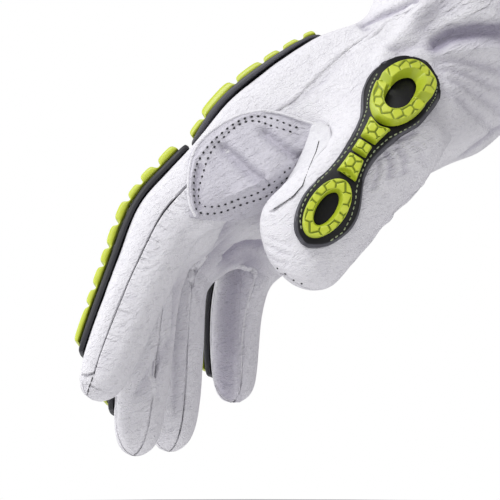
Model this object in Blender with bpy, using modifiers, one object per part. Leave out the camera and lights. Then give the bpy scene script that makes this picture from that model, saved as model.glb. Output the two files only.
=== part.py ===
"""Leather work glove with rubber impact guards, worn form, held at the wrist.

The photo's frame: X to the right, Z up, and the camera looks along +Y. The origin is the centre of the wrist.
The hand's own frame has `along` from the wrist to the fingers, `across` towards the thumb side and `up` out of
the back of the hand.
"""

import math
from typing import NamedTuple

import bmesh
import bpy
import numpy as np
from mathutils import Vector
from mathutils.bvhtree import BVHTree
from mathutils.interpolate import poly_3d_calc

MM = 0.001

# Hand and leather sizes.
PALM_LENGTH = 78 * MM
HALF_WIDTH = 45 * MM
HALF_DEPTH = 18 * MM
LEATHER = 1.2 * MM
SEAM_GAP = 0.52 * MM

# A millimetre of the tables below, which are for a palm 78 mm long and 90 mm wide.
LENGTH_UNIT = PALM_LENGTH / 78
WIDTH_UNIT = HALF_WIDTH / 45

# Pose of the hand in the photo's frame.
HAND_DROP = math.radians(33)
PALM_ROLL = math.radians(25)
JOINT_ROUNDING = 11 * MM


class Row(NamedTuple):
    """One ring of the palm and cuff. `along` is a share of PALM_LENGTH, the others of HALF_WIDTH or HALF_DEPTH.

    `lift` is the height of the side seams, `back` and `palm` are measured from it, and `squareness` is the back's.
    """

    along: float
    across: float
    lift: float
    half_width: float
    back: float
    palm: float
    squareness: float


ROWS = (
    Row(-0.872, 0.099, 0.53, 1.06, 1.75, 1.75, 2.0),
    Row(-0.400, 0.054, 0.29, 1.03, 1.73, 1.78, 2.0),
    Row(-0.051, 0.020, 0.14, 1.00, 1.70, 1.84, 2.0),
    Row(0.103, 0.000, 0.18, 0.96, 1.60, 1.95, 2.0),
    Row(0.231, 0.000, 0.25, 0.92, 0.98, 1.90, 2.2),
    Row(0.423, 0.000, 0.18, 0.95, 1.04, 1.66, 3.2),
    Row(0.641, 0.000, -0.05, 0.98, 1.22, 1.06, 4.0),
    Row(0.846, 0.000, -0.18, 1.00, 1.26, 0.86, 4.0),
)
PALM_SQUARENESS = 2.3

# Where the twenty columns of a palm ring sit across it, as shares of its half width.
COLUMN_SHARES = (-0.93, -0.74, -0.50, -0.25, 0.0, 0.25, 0.50, 0.74, 0.93)


class BallRow(NamedTuple):
    """The ball of the thumb in one row: (share of HALF_WIDTH across, share of HALF_DEPTH down) of four columns."""

    edge: tuple
    side: tuple
    corner: tuple
    under: tuple


THUMB_BALL = {
    2: BallRow((0.93, 0.60), (0.80, 1.28), (0.55, 1.66), (0.27, 1.72)),
    3: BallRow((0.95, 0.68), (0.90, 1.55), (0.68, 2.05), (0.33, 2.02)),
    4: BallRow((0.99, 0.74), (1.00, 1.82), (0.84, 2.48), (0.46, 2.20)),
    5: BallRow((1.00, 0.70), (1.00, 1.60), (0.85, 2.56), (0.50, 2.06)),
    6: BallRow((1.00, 0.70), (1.00, 1.40), (0.82, 2.30), (0.49, 1.62)),
    7: BallRow((1.01, 0.68), (0.96, 1.24), (0.78, 1.56), (0.42, 1.22)),
}


class Relaxed(NamedTuple):
    """A place in the photo's frame and a radius in millimetres, where the skin is evened out so many times."""

    centre: tuple
    radius: float
    times: int


RELAXED = (
    Relaxed((-47, -50, -31), 13, 4),
    Relaxed((-40, -48, -45.5), 12, 6),
    Relaxed((-9, -61.5, -46.4), 11, 5),
    Relaxed((-101.6, -25.5, -59.9), 8, 2),
)


class Finger(NamedTuple):
    """Knuckle place and bone lengths as shares of PALM_LENGTH or HALF_WIDTH, slopes as degrees below level.

    `guard_start` is where the guard's base begins, as a share of the finger's length. `guard_width` is a share
    of the common guard's width.
    """

    name: str
    along: float
    across: float
    lift: float
    bones: tuple
    slopes: tuple
    splay: float
    girth: float
    guard_start: float
    guard_width: float


FINGERS = (
    Finger("little", 0.923, -0.733, -0.067, (0.445, 0.305, 0.344), (44.5, 79.8, 89.0), -6, 0.92, 0.20, 0.78),
    Finger("ring", 1.000, -0.256, -0.010, (0.610, 0.436, 0.466), (38.3, 89.3, 86.6), -2, 1.0, 0.15, 1.0),
    Finger("middle", 1.051, 0.256, 0.000, (0.628, 0.480, 0.470), (42.4, 85.4, 85.5), 0, 1.0, 0.14, 1.0),
    Finger("index", 1.000, 0.767, -0.067, (0.527, 0.415, 0.469), (44.5, 66.4, 69.9), 2, 1.0, 0.142, 1.0),
)


class FingerRing(NamedTuple):
    """`along` is a share of the finger's length from the knuckle, the half sizes are in millimetres."""

    along: float
    half_width: float
    back: float
    palm: float
    web: float


WEB_HANG = 0.5
KNUCKLE_RINGS = (
    FingerRing(0.00, 11.5, 17.6, 14.5, 0.8),
    FingerRing(0.16, 11.4, 13.8, 13.4, 0.4),
    FingerRing(0.31, 11.2, 12.9, 12.2, 0.1),
)
FINGER_RINGS = (
    FingerRing(0.41, 10.5, 12.2, 11.1, 0.0),
    FingerRing(0.58, 10.2, 9.7, 10.6, 0.0),
    FingerRing(0.79, 9.8, 8.5, 10.0, 0.0),
    FingerRing(0.94, 7.3, 6.6, 7.8, 0.0),
)


class ThumbRing(NamedTuple):
    """Distances from the thumb's root joint to the ring's near and far edges, and the ring's shift and half sizes.

    All in millimetres. The far edge faces the index finger, and the shift is towards the palm.
    """

    near: float
    far: float
    shift: float
    half_width: float
    outer_depth: float
    inner_depth: float


THUMB_JOINTS = ((1.0, 24.0, -15.0), (34.7, 42.9, -28.8), (65.1, 45.5, -43.7), (93.3, 42.3, -56.3))
THUMB_RINGS = (
    ThumbRing(38, 64, 5.5, 20.5, 14.0, 10.0),
    ThumbRing(50, 71, 4.4, 19.0, 14.2, 12.0),
    ThumbRing(63, 76, 2.5, 18.1, 14.0, 13.4),
    ThumbRing(77, 82, 0.6, 18.6, 13.2, 13.2),
    ThumbRing(91, 91, -0.5, 18.7, 11.8, 11.8),
    ThumbRing(101, 100, 1.9, 14.3, 8.4, 8.4),
)
THUMB_TIP = 105.5
THUMB_TIP_SHIFT = 3.6
THUMB_FIRST_ANGLE = 75
THUMB_FIRST_ROW = 4
THUMB_LAST_ROW = 7

BACK, PALM, THUMB_INNER, FOURCHETTE_0, FOURCHETTE_1, FOURCHETTE_2 = range(6)
PANEL_NAMES = (
    "leather_back",
    "leather_palm",
    "leather_thumb_inner",
    "fourchette_ring_little",
    "fourchette_middle_ring",
    "fourchette_index_middle",
)

# Heights above the skin and gaps between pieces, in millimetres.
BASE_CLEARANCE = 0.6
BACK_CLEARANCE = 0.9
PIECE_GAP = 0.4
BLOCK_FLOOR = 0.8
DRAPE_REACH = 45 * MM
FRONT_REACH = 200 * MM

# Guard on each finger: its base's inner stations and its end as shares of the finger's length, and how far its
# corners and its strip's ends lie from its ends. Then half widths and heights.
GUARD_BASE_SHARES = (0.26, 0.32, 0.38, 0.45, 0.53, 0.62, 0.72)
GUARD_BASE_END = 0.87
GUARD_CORNER = 0.02
STRIP_INSET = 0.03
GUARD_BASE_HALF = 6.4
GUARD_BASE_TOP = 2.7
STRIP_HALF = 4.8


class Block(NamedTuple):
    """`start` and `end` are shares of the strip's length, and `height` is in millimetres."""

    start: float
    end: float
    height: float


FINGER_BLOCKS = (
    Block(0.00, 0.115, 3.6),
    Block(0.140, 0.215, 3.8),
    Block(0.230, 0.295, 3.2),
    Block(0.310, 0.395, 3.6),
    Block(0.412, 0.505, 3.3),
    Block(0.522, 0.600, 3.2),
    Block(0.618, 0.712, 3.1),
    Block(0.735, 0.808, 2.8),
    Block(0.825, 1.00, 2.4),
)


class BackRow(NamedTuple):
    """A station of the hand guard's base, in millimetres."""

    along: float
    middle: float
    half: float
    top: float


BACK_BASE = (
    BackRow(34.0, 0.0, 30.0, 1.9),
    BackRow(38.0, 0.0, 36.0, 2.1),
    BackRow(46.0, 0.0, 38.0, 2.4),
    BackRow(56.0, 0.0, 39.0, 2.7),
    BackRow(67.0, 0.0, 39.5, 3.0),
    BackRow(78.0, 0.5, 39.0, 3.3),
    BackRow(87.5, 2.2, 36.0, 3.2),
    BackRow(94.5, 5.5, 30.5, 2.4),
)
BACK_BASE_SHARES = (-1, -0.84, -0.66, -0.33, 0, 0.33, 0.66, 0.84, 1)
BACK_STRIP_START = 35.5
BACK_STRIP_HALF = 4.4


class BackStrip(NamedTuple):
    """Where a strip on the hand's back begins and ends across it, and its end along it, in millimetres."""

    near: float
    far: float
    end: float


BACK_STRIPS = (BackStrip(-24, -29, 86.5), BackStrip(-8, -10.5, 89), BackStrip(9, 11, 93), BackStrip(26.5, 31, 93))
BACK_BLOCKS = (
    Block(0.00, 0.080, 2.4),
    Block(0.114, 0.225, 2.8),
    Block(0.249, 0.368, 3.1),
    Block(0.385, 0.575, 3.5),
    Block(0.598, 0.862, 4.4),
    Block(0.880, 1.00, 3.0),
)

# The thumb guard's plan starts at its small ring's centre, given in the photo's frame, and climbs at this slope.
GUARD_START = (-45.8, -56.2)
GUARD_SLOPE = math.atan2(0.836, 0.548)
GUARD_LEAN = (0.20, 0.25)
THUMB_BASE_TOP = 2.8


class GuardRow(NamedTuple):
    """A station of the thumb guard's base, in millimetres."""

    along: float
    left: float
    right: float


GUARD_OUTLINE = (
    GuardRow(-14.2, -1.2, 1.6),
    GuardRow(-12.9, -4.2, 4.0),
    GuardRow(-10.5, -6.7, 6.7),
    GuardRow(-6.2, -8.6, 8.8),
    GuardRow(-0.8, -9.6, 10.2),
    GuardRow(4.6, -9.1, 9.6),
    GuardRow(9.4, -7.4, 7.4),
    GuardRow(13.8, -6.7, 5.2),
    GuardRow(18.4, -6.5, 4.3),
    GuardRow(23.0, -6.5, 4.4),
    GuardRow(28.0, -6.7, 5.6),
    GuardRow(33.0, -7.3, 6.8),
    GuardRow(36.6, -9.4, 8.6),
    GuardRow(40.5, -11.7, 10.8),
    GuardRow(45.0, -12.7, 11.2),
    GuardRow(49.6, -12.5, 11.7),
    GuardRow(54.2, -11.0, 11.2),
    GuardRow(57.9, -8.5, 9.0),
    GuardRow(60.4, -5.4, 5.8),
    GuardRow(62.0, -1.2, 1.6),
)


class GuardRing(NamedTuple):
    """A lime ring: centre, half sizes of its outside and of its hole in millimetres, and channels in degrees."""

    name: str
    along: float
    across: float
    long: float
    wide: float
    hole_long: float
    hole_wide: float
    turn: float
    height: float
    channels: tuple
    channel_half: float


RING_SECTIONS = 24
RING_PROFILE = ((0.0, 0.0), (0.06, 0.75), (0.15, 1.0), (0.80, 1.0), (0.92, 0.6), (1.0, 0.0))
GUARD_RINGS = (
    GuardRing("thumb_guard_large_ring", 46.4, -1.1, 12.6, 8.9, 7.3, 4.0, 5, 3.8, (85, 265), 7),
    GuardRing("thumb_guard_small_ring", -0.4, -1.2, 11.3, 6.3, 6.2, 2.8, 0, 3.2, (), 0),
)


class GuardBlock(NamedTuple):
    """A block of the thumb guard in millimetres, with how far the middles of its two ends are hollowed."""

    name: str
    near: float
    far: float
    near_left: float
    near_right: float
    far_left: float
    far_right: float
    near_hollow: float
    far_hollow: float
    height: float


GUARD_BLOCKS = (
    GuardBlock("thumb_guard_block_1", 26.7, 33.6, -4.9, 0.9, -5.5, 2.6, 0, 1.6, 3.4),
    GuardBlock("thumb_guard_block_2", 21.2, 25.1, -4.9, 0.6, -4.9, 0.6, 0, 0, 3.0),
    GuardBlock("thumb_guard_block_3", 12.4, 19.6, -5.3, 2.0, -4.9, 0.7, 1.4, 0, 3.4),
)


class PatchRow(NamedTuple):
    """A station of the crotch patch in the photo's frame, in millimetres."""

    across: float
    low: float
    high: float


PATCH_POINTS = 6
PATCH_THICKNESS = 1.1
PATCH_ROWS = (
    PatchRow(-92.9, -58.2, -38.0),
    PatchRow(-89.4, -58.6, -32.2),
    PatchRow(-84.1, -58.0, -28.0),
    PatchRow(-78.8, -56.8, -24.5),
    PatchRow(-73.6, -55.0, -21.6),
    PatchRow(-69.0, -52.6, -20.9),
    PatchRow(-64.8, -50.0, -21.2),
    PatchRow(-59.5, -46.0, -22.2),
    PatchRow(-54.8, -40.4, -24.0),
    PatchRow(-50.6, -34.4, -25.2),
    PatchRow(-48.2, -31.0, -26.2),
)


def hand_axes():
    """The hand's along, across and up directions in the photo's frame."""
    along = Vector((-math.cos(HAND_DROP), 0, -math.sin(HAND_DROP)))
    unrolled_up = Vector((-math.sin(HAND_DROP), 0, math.cos(HAND_DROP)))
    up = unrolled_up * math.cos(PALM_ROLL) + Vector((0, 1, 0)) * math.sin(PALM_ROLL)
    across = up.cross(along)
    return along, across, up


ALONG, ACROSS, UP = hand_axes()


def in_hand(along, across, up):
    """A point given in the hand's frame, in metres."""
    return ALONG * along + ACROSS * across + UP * up


class Digit:
    """A finger or the thumb: a centre line with rounded bends and a frame at each distance along it."""

    def __init__(self, joints, facing):
        self.joints = joints
        self.facing = facing
        self.lengths = [(b - a).length for a, b in zip(joints, joints[1:])]

    def on_bones(self, distance):
        """The point at this distance along the unrounded bones, which run on straight past both ends."""
        index = 0
        while index < len(self.lengths) - 1 and distance > self.lengths[index]:
            distance -= self.lengths[index]
            index += 1
        start = self.joints[index]
        return start + (self.joints[index + 1] - start).normalized() * distance

    def point(self, distance):
        """The centre line's point: the mean of the bones' points close by."""
        offsets = [JOINT_ROUNDING * share / 6 for share in range(-6, 7)]
        total = Vector((0, 0, 0))
        for offset in offsets:
            total += self.on_bones(distance + offset)
        return total / len(offsets)

    def frame(self, distance):
        """(centre, direction, side, normal) at this distance, where side is normal x direction."""
        centre = self.point(distance)
        ahead = (self.point(distance + MM) - self.point(distance - MM)).normalized()
        normal = (self.facing - ahead * self.facing.dot(ahead)).normalized()
        return centre, ahead, normal.cross(ahead), normal


def finger_digit(finger):
    """The centre line of one finger, whose distances start one palm length before the knuckle."""
    knuckle = in_hand(finger.along * PALM_LENGTH, finger.across * HALF_WIDTH, finger.lift * HALF_WIDTH)
    joints = [knuckle - ALONG * PALM_LENGTH, knuckle]
    splay = math.radians(finger.splay)
    for bone, slope in zip(finger.bones, finger.slopes):
        bend = math.atan(math.tan(math.radians(slope) - HAND_DROP) / math.cos(PALM_ROLL))
        step = in_hand(math.cos(bend) * math.cos(splay), math.sin(splay), -math.sin(bend) * math.cos(splay))
        joints.append(joints[-1] + step * bone * PALM_LENGTH)
    return Digit(joints, UP)


DIGITS = [finger_digit(finger) for finger in FINGERS]
LENGTHS = [sum(finger.bones) * PALM_LENGTH for finger in FINGERS]
THUMB = Digit(
    [in_hand(along * LENGTH_UNIT, across * WIDTH_UNIT, up * LENGTH_UNIT) for along, across, up in THUMB_JOINTS],
    ACROSS,
)


def finger_point(index, ring, across, up):
    """A point of a finger's ring, with across and up as shares of the ring's half sizes."""
    centre, _, side, normal = DIGITS[index].frame(PALM_LENGTH + ring.along * LENGTHS[index])
    height = ring.back if up > 0 else ring.palm
    girth = FINGERS[index].girth * WIDTH_UNIT
    return centre + side * across * ring.half_width * girth + normal * up * height * girth


class Cage:
    """The coarse quads that the skin is subdivided from. Each vertex holds the place the skin should pass through."""

    def __init__(self):
        self.points = []
        self.quads = []
        self.panels = []

    def add(self, point):
        self.points.append(point.copy())
        return len(self.points) - 1

    def quad(self, panel, *corners):
        self.quads.append(corners)
        self.panels.append(panel)

    def tube(self, lower, upper, panel_of):
        """Quads between two rings that run the same way round."""
        count = len(lower)
        for k in range(count):
            following = (k + 1) % count
            self.quad(panel_of(k), lower[k], upper[k], upper[following], lower[following])


def palm_ring(cage, i):
    """Twenty vertices round the palm: the little finger's side, over the back, the thumb's side, under the palm.

    The two places inside the thumb's opening get no vertex.
    """
    row = ROWS[i]
    centre = in_hand(row.along * PALM_LENGTH, row.across * HALF_WIDTH, row.lift * HALF_DEPTH)
    half = row.half_width * HALF_WIDTH

    def place(share, depth):
        power = row.squareness if depth > 0 else PALM_SQUARENESS
        height = (1 - abs(share) ** power) ** (1 / power)
        return centre + ACROSS * share * half + UP * height * depth * HALF_DEPTH

    over = [place(share, row.back) for share in COLUMN_SHARES]
    under = [place(share, -row.palm) for share in reversed(COLUMN_SHARES)]
    for k, (across, down) in enumerate(THUMB_BALL.get(i, ())):
        under[k] = in_hand(row.along * PALM_LENGTH, across * HALF_WIDTH, -down * HALF_DEPTH)
    loop = [place(-1, 0), *over, place(1, 0), *under]
    opening = (11, 12) if THUMB_FIRST_ROW < i < THUMB_LAST_ROW else ()
    return [None if k in opening else cage.add(point) for k, point in enumerate(loop)]


# The eight places round a finger: ulnar side, three over its back, radial side, three under it.
CORNER_ACROSS, CORNER_UP = 0.78, 0.74
ROUND_FINGER = (
    (-1, 0),
    (-CORNER_ACROSS, CORNER_UP),
    (0, 1),
    (CORNER_ACROSS, CORNER_UP),
    (1, 0),
    (CORNER_ACROSS, -CORNER_UP),
    (0, -1),
    (-CORNER_ACROSS, -CORNER_UP),
)


def knuckle_ring(cage, ring, web):
    """Twenty vertices round all four fingers, and their webs' middles where `web` is set."""

    def shared(place, lower, upper):
        across, up = place
        first = finger_point(lower, ring, across, up)
        second = finger_point(upper, ring, -across, up)
        return cage.add((first + second) / 2)

    over, under = [], []
    for j in range(4):
        if j == 0:
            over.append(cage.add(finger_point(0, ring, -CORNER_ACROSS, CORNER_UP)))
            under.append(cage.add(finger_point(0, ring, -CORNER_ACROSS, -CORNER_UP)))
        web_share = ring.web if j == 3 else 0
        over.append(cage.add(finger_point(j, ring, 0, 1)))
        under.append(cage.add(finger_point(j, ring, 0.9 * web_share, -1 - 0.7 * web_share)))
        if j < 3:
            hang = WEB_HANG * ring.web if j == 2 else 0
            over.append(shared((1, 0.86 if not web else 0.55), j, j + 1))
            under.append(shared((1, (-0.86 if not web else -0.6) - hang), j, j + 1))
    over.append(cage.add(finger_point(3, ring, CORNER_ACROSS, CORNER_UP)))
    under.append(cage.add(finger_point(3, ring, CORNER_ACROSS + 0.25 * ring.web, -CORNER_UP - 0.3 * ring.web)))
    ulnar = cage.add(finger_point(0, ring, -1, 0))
    radial = cage.add(finger_point(3, ring, 1, 0))
    loop = [ulnar, *over, radial, *reversed(under)]
    webs = [shared((1, 0), j, j + 1) for j in range(3)] if web else []
    return loop, webs


def palm_panel(k):
    return BACK if k < 10 else PALM


def finger_panel(j, k):
    """The panel of face k of the eight round finger j."""
    if k in (7, 0):
        return (FOURCHETTE_0, FOURCHETTE_1, FOURCHETTE_2)[j - 1] if j else (BACK if k == 0 else PALM)
    if k in (3, 4):
        return (FOURCHETTE_0, FOURCHETTE_1, FOURCHETTE_2)[j] if j < 3 else (BACK if k == 3 else PALM)
    return BACK if k in (1, 2) else PALM


def add_finger(cage, j, start):
    """The finger's own rings from the shared ring `start` to its tip."""
    lower = start
    for ring in FINGER_RINGS:
        upper = [cage.add(finger_point(j, ring, across, up)) for across, up in ROUND_FINGER]
        cage.tube(lower, upper, lambda k: finger_panel(j, k))
        lower = upper
    tip = cage.add(DIGITS[j].point(PALM_LENGTH + LENGTHS[j]))
    sides = (finger_panel(j, 0) if j else PALM, BACK, finger_panel(j, 3) if j < 3 else PALM, PALM)
    for start_of, panel in zip((0, 2, 4, 6), sides):
        cage.quad(panel, lower[start_of + 1], lower[start_of], lower[start_of - 1], tip)


def thumb_panel(m, rooted):
    """The panel of face m of the twelve round the thumb: the outer face is one piece with the palm."""
    return PALM if m in (10, 11, 0, 1, 2, 3) or (rooted and m == 9) else THUMB_INNER


def thumb_place(ring, angle):
    """The point of a thumb ring at this angle from the edge near the back of the hand, turning outwards."""
    share = (math.sin(angle - math.radians(25)) + 1) / 2
    centre, ahead, _, normal = THUMB.frame((ring.far + (ring.near - ring.far) * share) * LENGTH_UNIT)
    towards_back = ahead.cross(normal)
    sideways = math.cos(angle) * ring.half_width - ring.shift
    depth = ring.outer_depth if math.sin(angle) > 0 else ring.inner_depth
    return centre + (towards_back * sideways + normal * math.sin(angle) * depth) * LENGTH_UNIT


def add_thumb(cage, rows):
    """The thumb's rings, from the opening between the palm's rows to its tip."""
    first, last = rows[THUMB_FIRST_ROW], rows[THUMB_LAST_ROW]
    inside = rows[THUMB_FIRST_ROW + 1 : THUMB_LAST_ROW]
    columns = (10, 11, 12, 13)
    loop = [first[k] for k in columns]
    loop += [row[columns[-1]] for row in inside]
    loop += [last[k] for k in reversed(columns)]
    loop += [row[columns[0]] for row in reversed(inside)]
    lower = loop
    angles = [math.radians(THUMB_FIRST_ANGLE + 30 * m) for m in range(12)]
    for ring in THUMB_RINGS:
        upper = [cage.add(thumb_place(ring, angle)) for angle in angles]
        for m in range(12):
            following = (m + 1) % 12
            panel = thumb_panel(m, lower is loop)
            cage.quad(panel, lower[following], lower[m], upper[m], upper[following])
        lower = upper
    end = THUMB_RINGS[-1]
    tip = ThumbRing(THUMB_TIP, THUMB_TIP, THUMB_TIP_SHIFT, end.half_width / 2, end.outer_depth / 2, end.inner_depth / 2)
    near_back, near_palm, far_palm, far_back = [cage.add(thumb_place(tip, angles[m])) for m in (0, 3, 6, 9)]
    grid = [
        lower[0:4],
        [lower[11], near_back, near_palm, lower[4]],
        [lower[10], far_back, far_palm, lower[5]],
        [lower[9], lower[8], lower[7], lower[6]],
    ]
    for r in range(3):
        for c in range(3):
            panel = PALM if r == 0 or (r, c) == (1, 0) else THUMB_INNER
            cage.quad(panel, grid[r][c], grid[r + 1][c], grid[r + 1][c + 1], grid[r][c + 1])


def glove_cage():
    """The whole glove as one open cage, with its mouth at the end of the cuff."""
    cage = Cage()
    rows = [palm_ring(cage, i) for i in range(len(ROWS))]
    webs = []
    for ring in KNUCKLE_RINGS:
        loop, webs = knuckle_ring(cage, ring, ring is KNUCKLE_RINGS[-1])
        rows.append(loop)
    for i in range(len(rows) - 1):
        for k in range(20):
            if THUMB_FIRST_ROW <= i < THUMB_LAST_ROW and k in (10, 11, 12):
                continue
            following = (k + 1) % 20
            cage.quad(palm_panel(k), rows[i][k], rows[i + 1][k], rows[i + 1][following], rows[i][following])
    loop = rows[-1]
    sides = [loop[0], *webs, loop[10]]
    for j in range(4):
        over = loop[1 + 2 * j : 4 + 2 * j]
        under = [loop[17 - 2 * j], loop[18 - 2 * j], loop[19 - 2 * j]]
        add_finger(cage, j, [sides[j], *over, sides[j + 1], *under])
    add_thumb(cage, rows)
    return cage


def mesh_object(name, points, faces, collection):
    mesh = bpy.data.meshes.new(name)
    mesh.from_pydata([tuple(point) for point in points], [], faces)
    obj = bpy.data.objects.new(name, mesh)
    collection.objects.link(obj)
    return obj


class Finish(NamedTuple):
    """A material's name, colour and roughness."""

    name: str
    colour: tuple
    roughness: float


LEATHER_FINISH = Finish("white_leather", (0.82, 0.82, 0.85), 0.55)
BASE_RUBBER = Finish("dark_rubber", (0.02, 0.021, 0.026), 0.5)
LIME_RUBBER = Finish("lime_rubber", (0.42, 0.60, 0.05), 0.45)


def dress(obj, finish):
    """Gives the object its own material and smooth shading."""
    material = bpy.data.materials.new(f"{finish.name}_{obj.name}")
    material.use_nodes = True
    shader = material.node_tree.nodes["Principled BSDF"]
    shader.inputs["Base Color"].default_value = (*finish.colour, 1)
    shader.inputs["Roughness"].default_value = finish.roughness
    shader.inputs["Metallic"].default_value = 0
    obj.data.materials.append(material)
    for polygon in obj.data.polygons:
        polygon.use_smooth = True
    return obj


class Skin:
    """The glove's outer surface after subdivision: points, quads, the panel of each quad and smooth normals."""

    def __init__(self, cage, collection):
        cage_object = mesh_object("glove_cage", cage.points, cage.quads, collection)
        cage_object.hide_render = True
        cage_object.display_type = "WIRE"
        for polygon, panel in zip(cage_object.data.polygons, cage.panels):
            polygon.material_index = panel
        for panel in range(len(PANEL_NAMES)):
            cage_object.data.materials.append(None)
        smooth = cage_object.modifiers.new("Smooth skin", "SUBSURF")
        smooth.levels = 1
        smooth.render_levels = 1
        smooth.boundary_smooth = "PRESERVE_CORNERS"
        wanted = np.array([tuple(point) for point in cage.points])
        placed = wanted.copy()
        for _ in range(5):
            placed += (wanted - self.evaluate(cage_object)[: len(wanted)]) * 0.9
            cage_object.data.vertices.foreach_set("co", placed.ravel())
            cage_object.data.update()
        self.points = self.evaluate(cage_object)
        for relaxed in RELAXED:
            self.relax(relaxed)
        self.normals = self.smooth_normals()
        self.tree = BVHTree.FromPolygons([Vector(point) for point in self.points], self.quads)

    def evaluate(self, cage_object):
        """Reads the subdivided mesh, and returns its points."""
        bpy.context.view_layer.update()
        evaluated = cage_object.evaluated_get(bpy.context.evaluated_depsgraph_get())
        mesh = evaluated.to_mesh()
        points = np.empty(len(mesh.vertices) * 3)
        mesh.vertices.foreach_get("co", points)
        self.quads = [tuple(polygon.vertices) for polygon in mesh.polygons]
        self.panels = [polygon.material_index for polygon in mesh.polygons]
        evaluated.to_mesh_clear()
        return points.reshape(-1, 3)

    def relax(self, place):
        """Evens out the points near a place, where the thumb meets the hand."""
        ends = np.array([(quad[k], quad[(k + 1) % 4]) for quad in self.quads for k in range(4)])
        centre = np.array(place.centre) * LENGTH_UNIT
        distance = np.linalg.norm(self.points - centre, axis=1) / (place.radius * LENGTH_UNIT)
        weight = np.clip(1 - distance, 0, 1)[:, None] ** 0.5
        for _ in range(place.times):
            total = np.zeros_like(self.points)
            count = np.zeros((len(self.points), 1))
            np.add.at(total, ends[:, 0], self.points[ends[:, 1]])
            np.add.at(count, ends[:, 0], 1)
            self.points += (total / np.maximum(count, 1) - self.points) * weight * 0.5

    def smooth_normals(self):
        """One normal for each point: the mean of its faces' normals."""
        quads = np.array(self.quads)
        corners = self.points[quads]
        faces = np.cross(corners[:, 2] - corners[:, 0], corners[:, 3] - corners[:, 1])
        normals = np.zeros_like(self.points)
        for corner in range(4):
            np.add.at(normals, quads[:, corner], faces)
        return normals / np.linalg.norm(normals, axis=1)[:, None]


def panel_solid(skin, panel, collection):
    """One leather piece: its outer quads, an inner wall one leather thickness below, and the rim between them."""
    quads = [quad for quad, owner in zip(skin.quads, skin.panels) if owner == panel]
    owners = {}
    for quad, owner in zip(skin.quads, skin.panels):
        for vertex in quad:
            owners.setdefault(vertex, set()).add(owner)
    pull = {}
    for quad in quads:
        middle = skin.points[list(quad)].mean(axis=0)
        for vertex in quad:
            if len(owners[vertex]) > 1:
                pull.setdefault(vertex, []).append(middle - skin.points[vertex])
    used = sorted({vertex for quad in quads for vertex in quad})
    number = {vertex: i for i, vertex in enumerate(used)}
    outer = []
    for vertex in used:
        point = skin.points[vertex].copy()
        if vertex in pull:
            step = np.mean(pull[vertex], axis=0)
            step -= skin.normals[vertex] * step.dot(skin.normals[vertex])
            spread = np.linalg.norm(step) / np.mean([np.linalg.norm(part) for part in pull[vertex]])
            point += step / np.linalg.norm(step) * (SEAM_GAP / 2) * min(1 / max(1 - spread**2, 0.16) ** 0.5, 2.0)
        outer.append(point)
    inner = [point - skin.normals[vertex] * LEATHER for vertex, point in zip(used, outer)]
    count = len(used)
    outer_faces = [tuple(number[vertex] for vertex in quad) for quad in quads]
    inner_faces = [tuple(vertex + count for vertex in reversed(quad)) for quad in outer_faces]
    edges = {(quad[i], quad[(i + 1) % 4]) for quad in outer_faces for i in range(4)}
    rim = [(b, a, a + count, b + count) for a, b in edges if (b, a) not in edges]
    faces = outer_faces + inner_faces + sorted(rim)
    return dress(mesh_object(PANEL_NAMES[panel], outer + inner, faces, collection), LEATHER_FINISH)


class Drape:
    """Places points over the skin or over a piece on it, each a height above the place where its ray meets it.

    `ray` gives a point inside the hand and the ray's direction, and `reach` is how far before that point it starts.
    """

    def __init__(self, skin, ray, reach, piece=None):
        self.skin = skin
        self.ray = ray
        self.reach = reach
        self.tree = skin.tree
        if piece is not None:
            points = [vertex.co.copy() for vertex in piece.data.vertices]
            self.tree = BVHTree.FromPolygons(points, [tuple(polygon.vertices) for polygon in piece.data.polygons])

    def place(self, a, b, height):
        """The point over plan point (a, b). A ray that passes beside the surface takes the nearest place on it."""
        inside, direction = self.ray(a, b)
        hit = self.tree.ray_cast(inside - direction * self.reach, direction)[0]
        if hit is None:
            hit = self.tree.find_nearest(inside)[0]
        nearest, _, index, _ = self.skin.tree.find_nearest(hit)
        quad = self.skin.quads[index]
        weights = poly_3d_calc([Vector(self.skin.points[vertex]) for vertex in quad], nearest)
        normal = Vector((0, 0, 0))
        for weight, vertex in zip(weights, quad):
            normal += Vector(self.skin.normals[vertex]) * weight
        return hit + normal.normalized() * height * MM


def finger_ray(j):
    """Plan points of a finger: thousandths of its length from the knuckle, and millimetres across."""

    def ray(along, across):
        centre, _, side, normal = DIGITS[j].frame(PALM_LENGTH + along * LENGTHS[j] / 1000)
        return centre + side * across * WIDTH_UNIT, -normal

    return ray


def back_ray(along, across):
    """Plan points of the hand's back: millimetres along and across it."""
    return in_hand(along * LENGTH_UNIT, across * WIDTH_UNIT, 0), -UP


def guard_ray(along, across):
    """Plan points of the thumb guard: millimetres from its small ring to its large one, and towards the palm."""
    direction = Vector((math.cos(GUARD_SLOPE), 0, math.sin(GUARD_SLOPE)))
    palmwards = Vector((direction.z, 0, -direction.x))
    start = Vector((GUARD_START[0], 0, GUARD_START[1]))
    return (start + direction * along + palmwards * across) * LENGTH_UNIT, Vector((0, 1, 0))


def front_ray(x, z):
    """Plan points in the photo's frame, in millimetres."""
    return Vector((x, 0, z)) * LENGTH_UNIT, Vector((0, 1, 0))


def underside_samples():
    """Places over a face, as shares of its four corners, for either way of splitting it into two triangles."""
    samples = []
    steps = [k / 4 for k in range(5)]
    for u in steps:
        for v in steps:
            samples.append((1 - u, u - v, v, 0) if u >= v else (1 - v, 0, u, v - u))
            samples.append((1 - u - v, u, 0, v) if u + v <= 1 else (0, 1 - v, u + v - 1, 1 - u))
    return samples


UNDERSIDE_SAMPLES = underside_samples()


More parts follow.
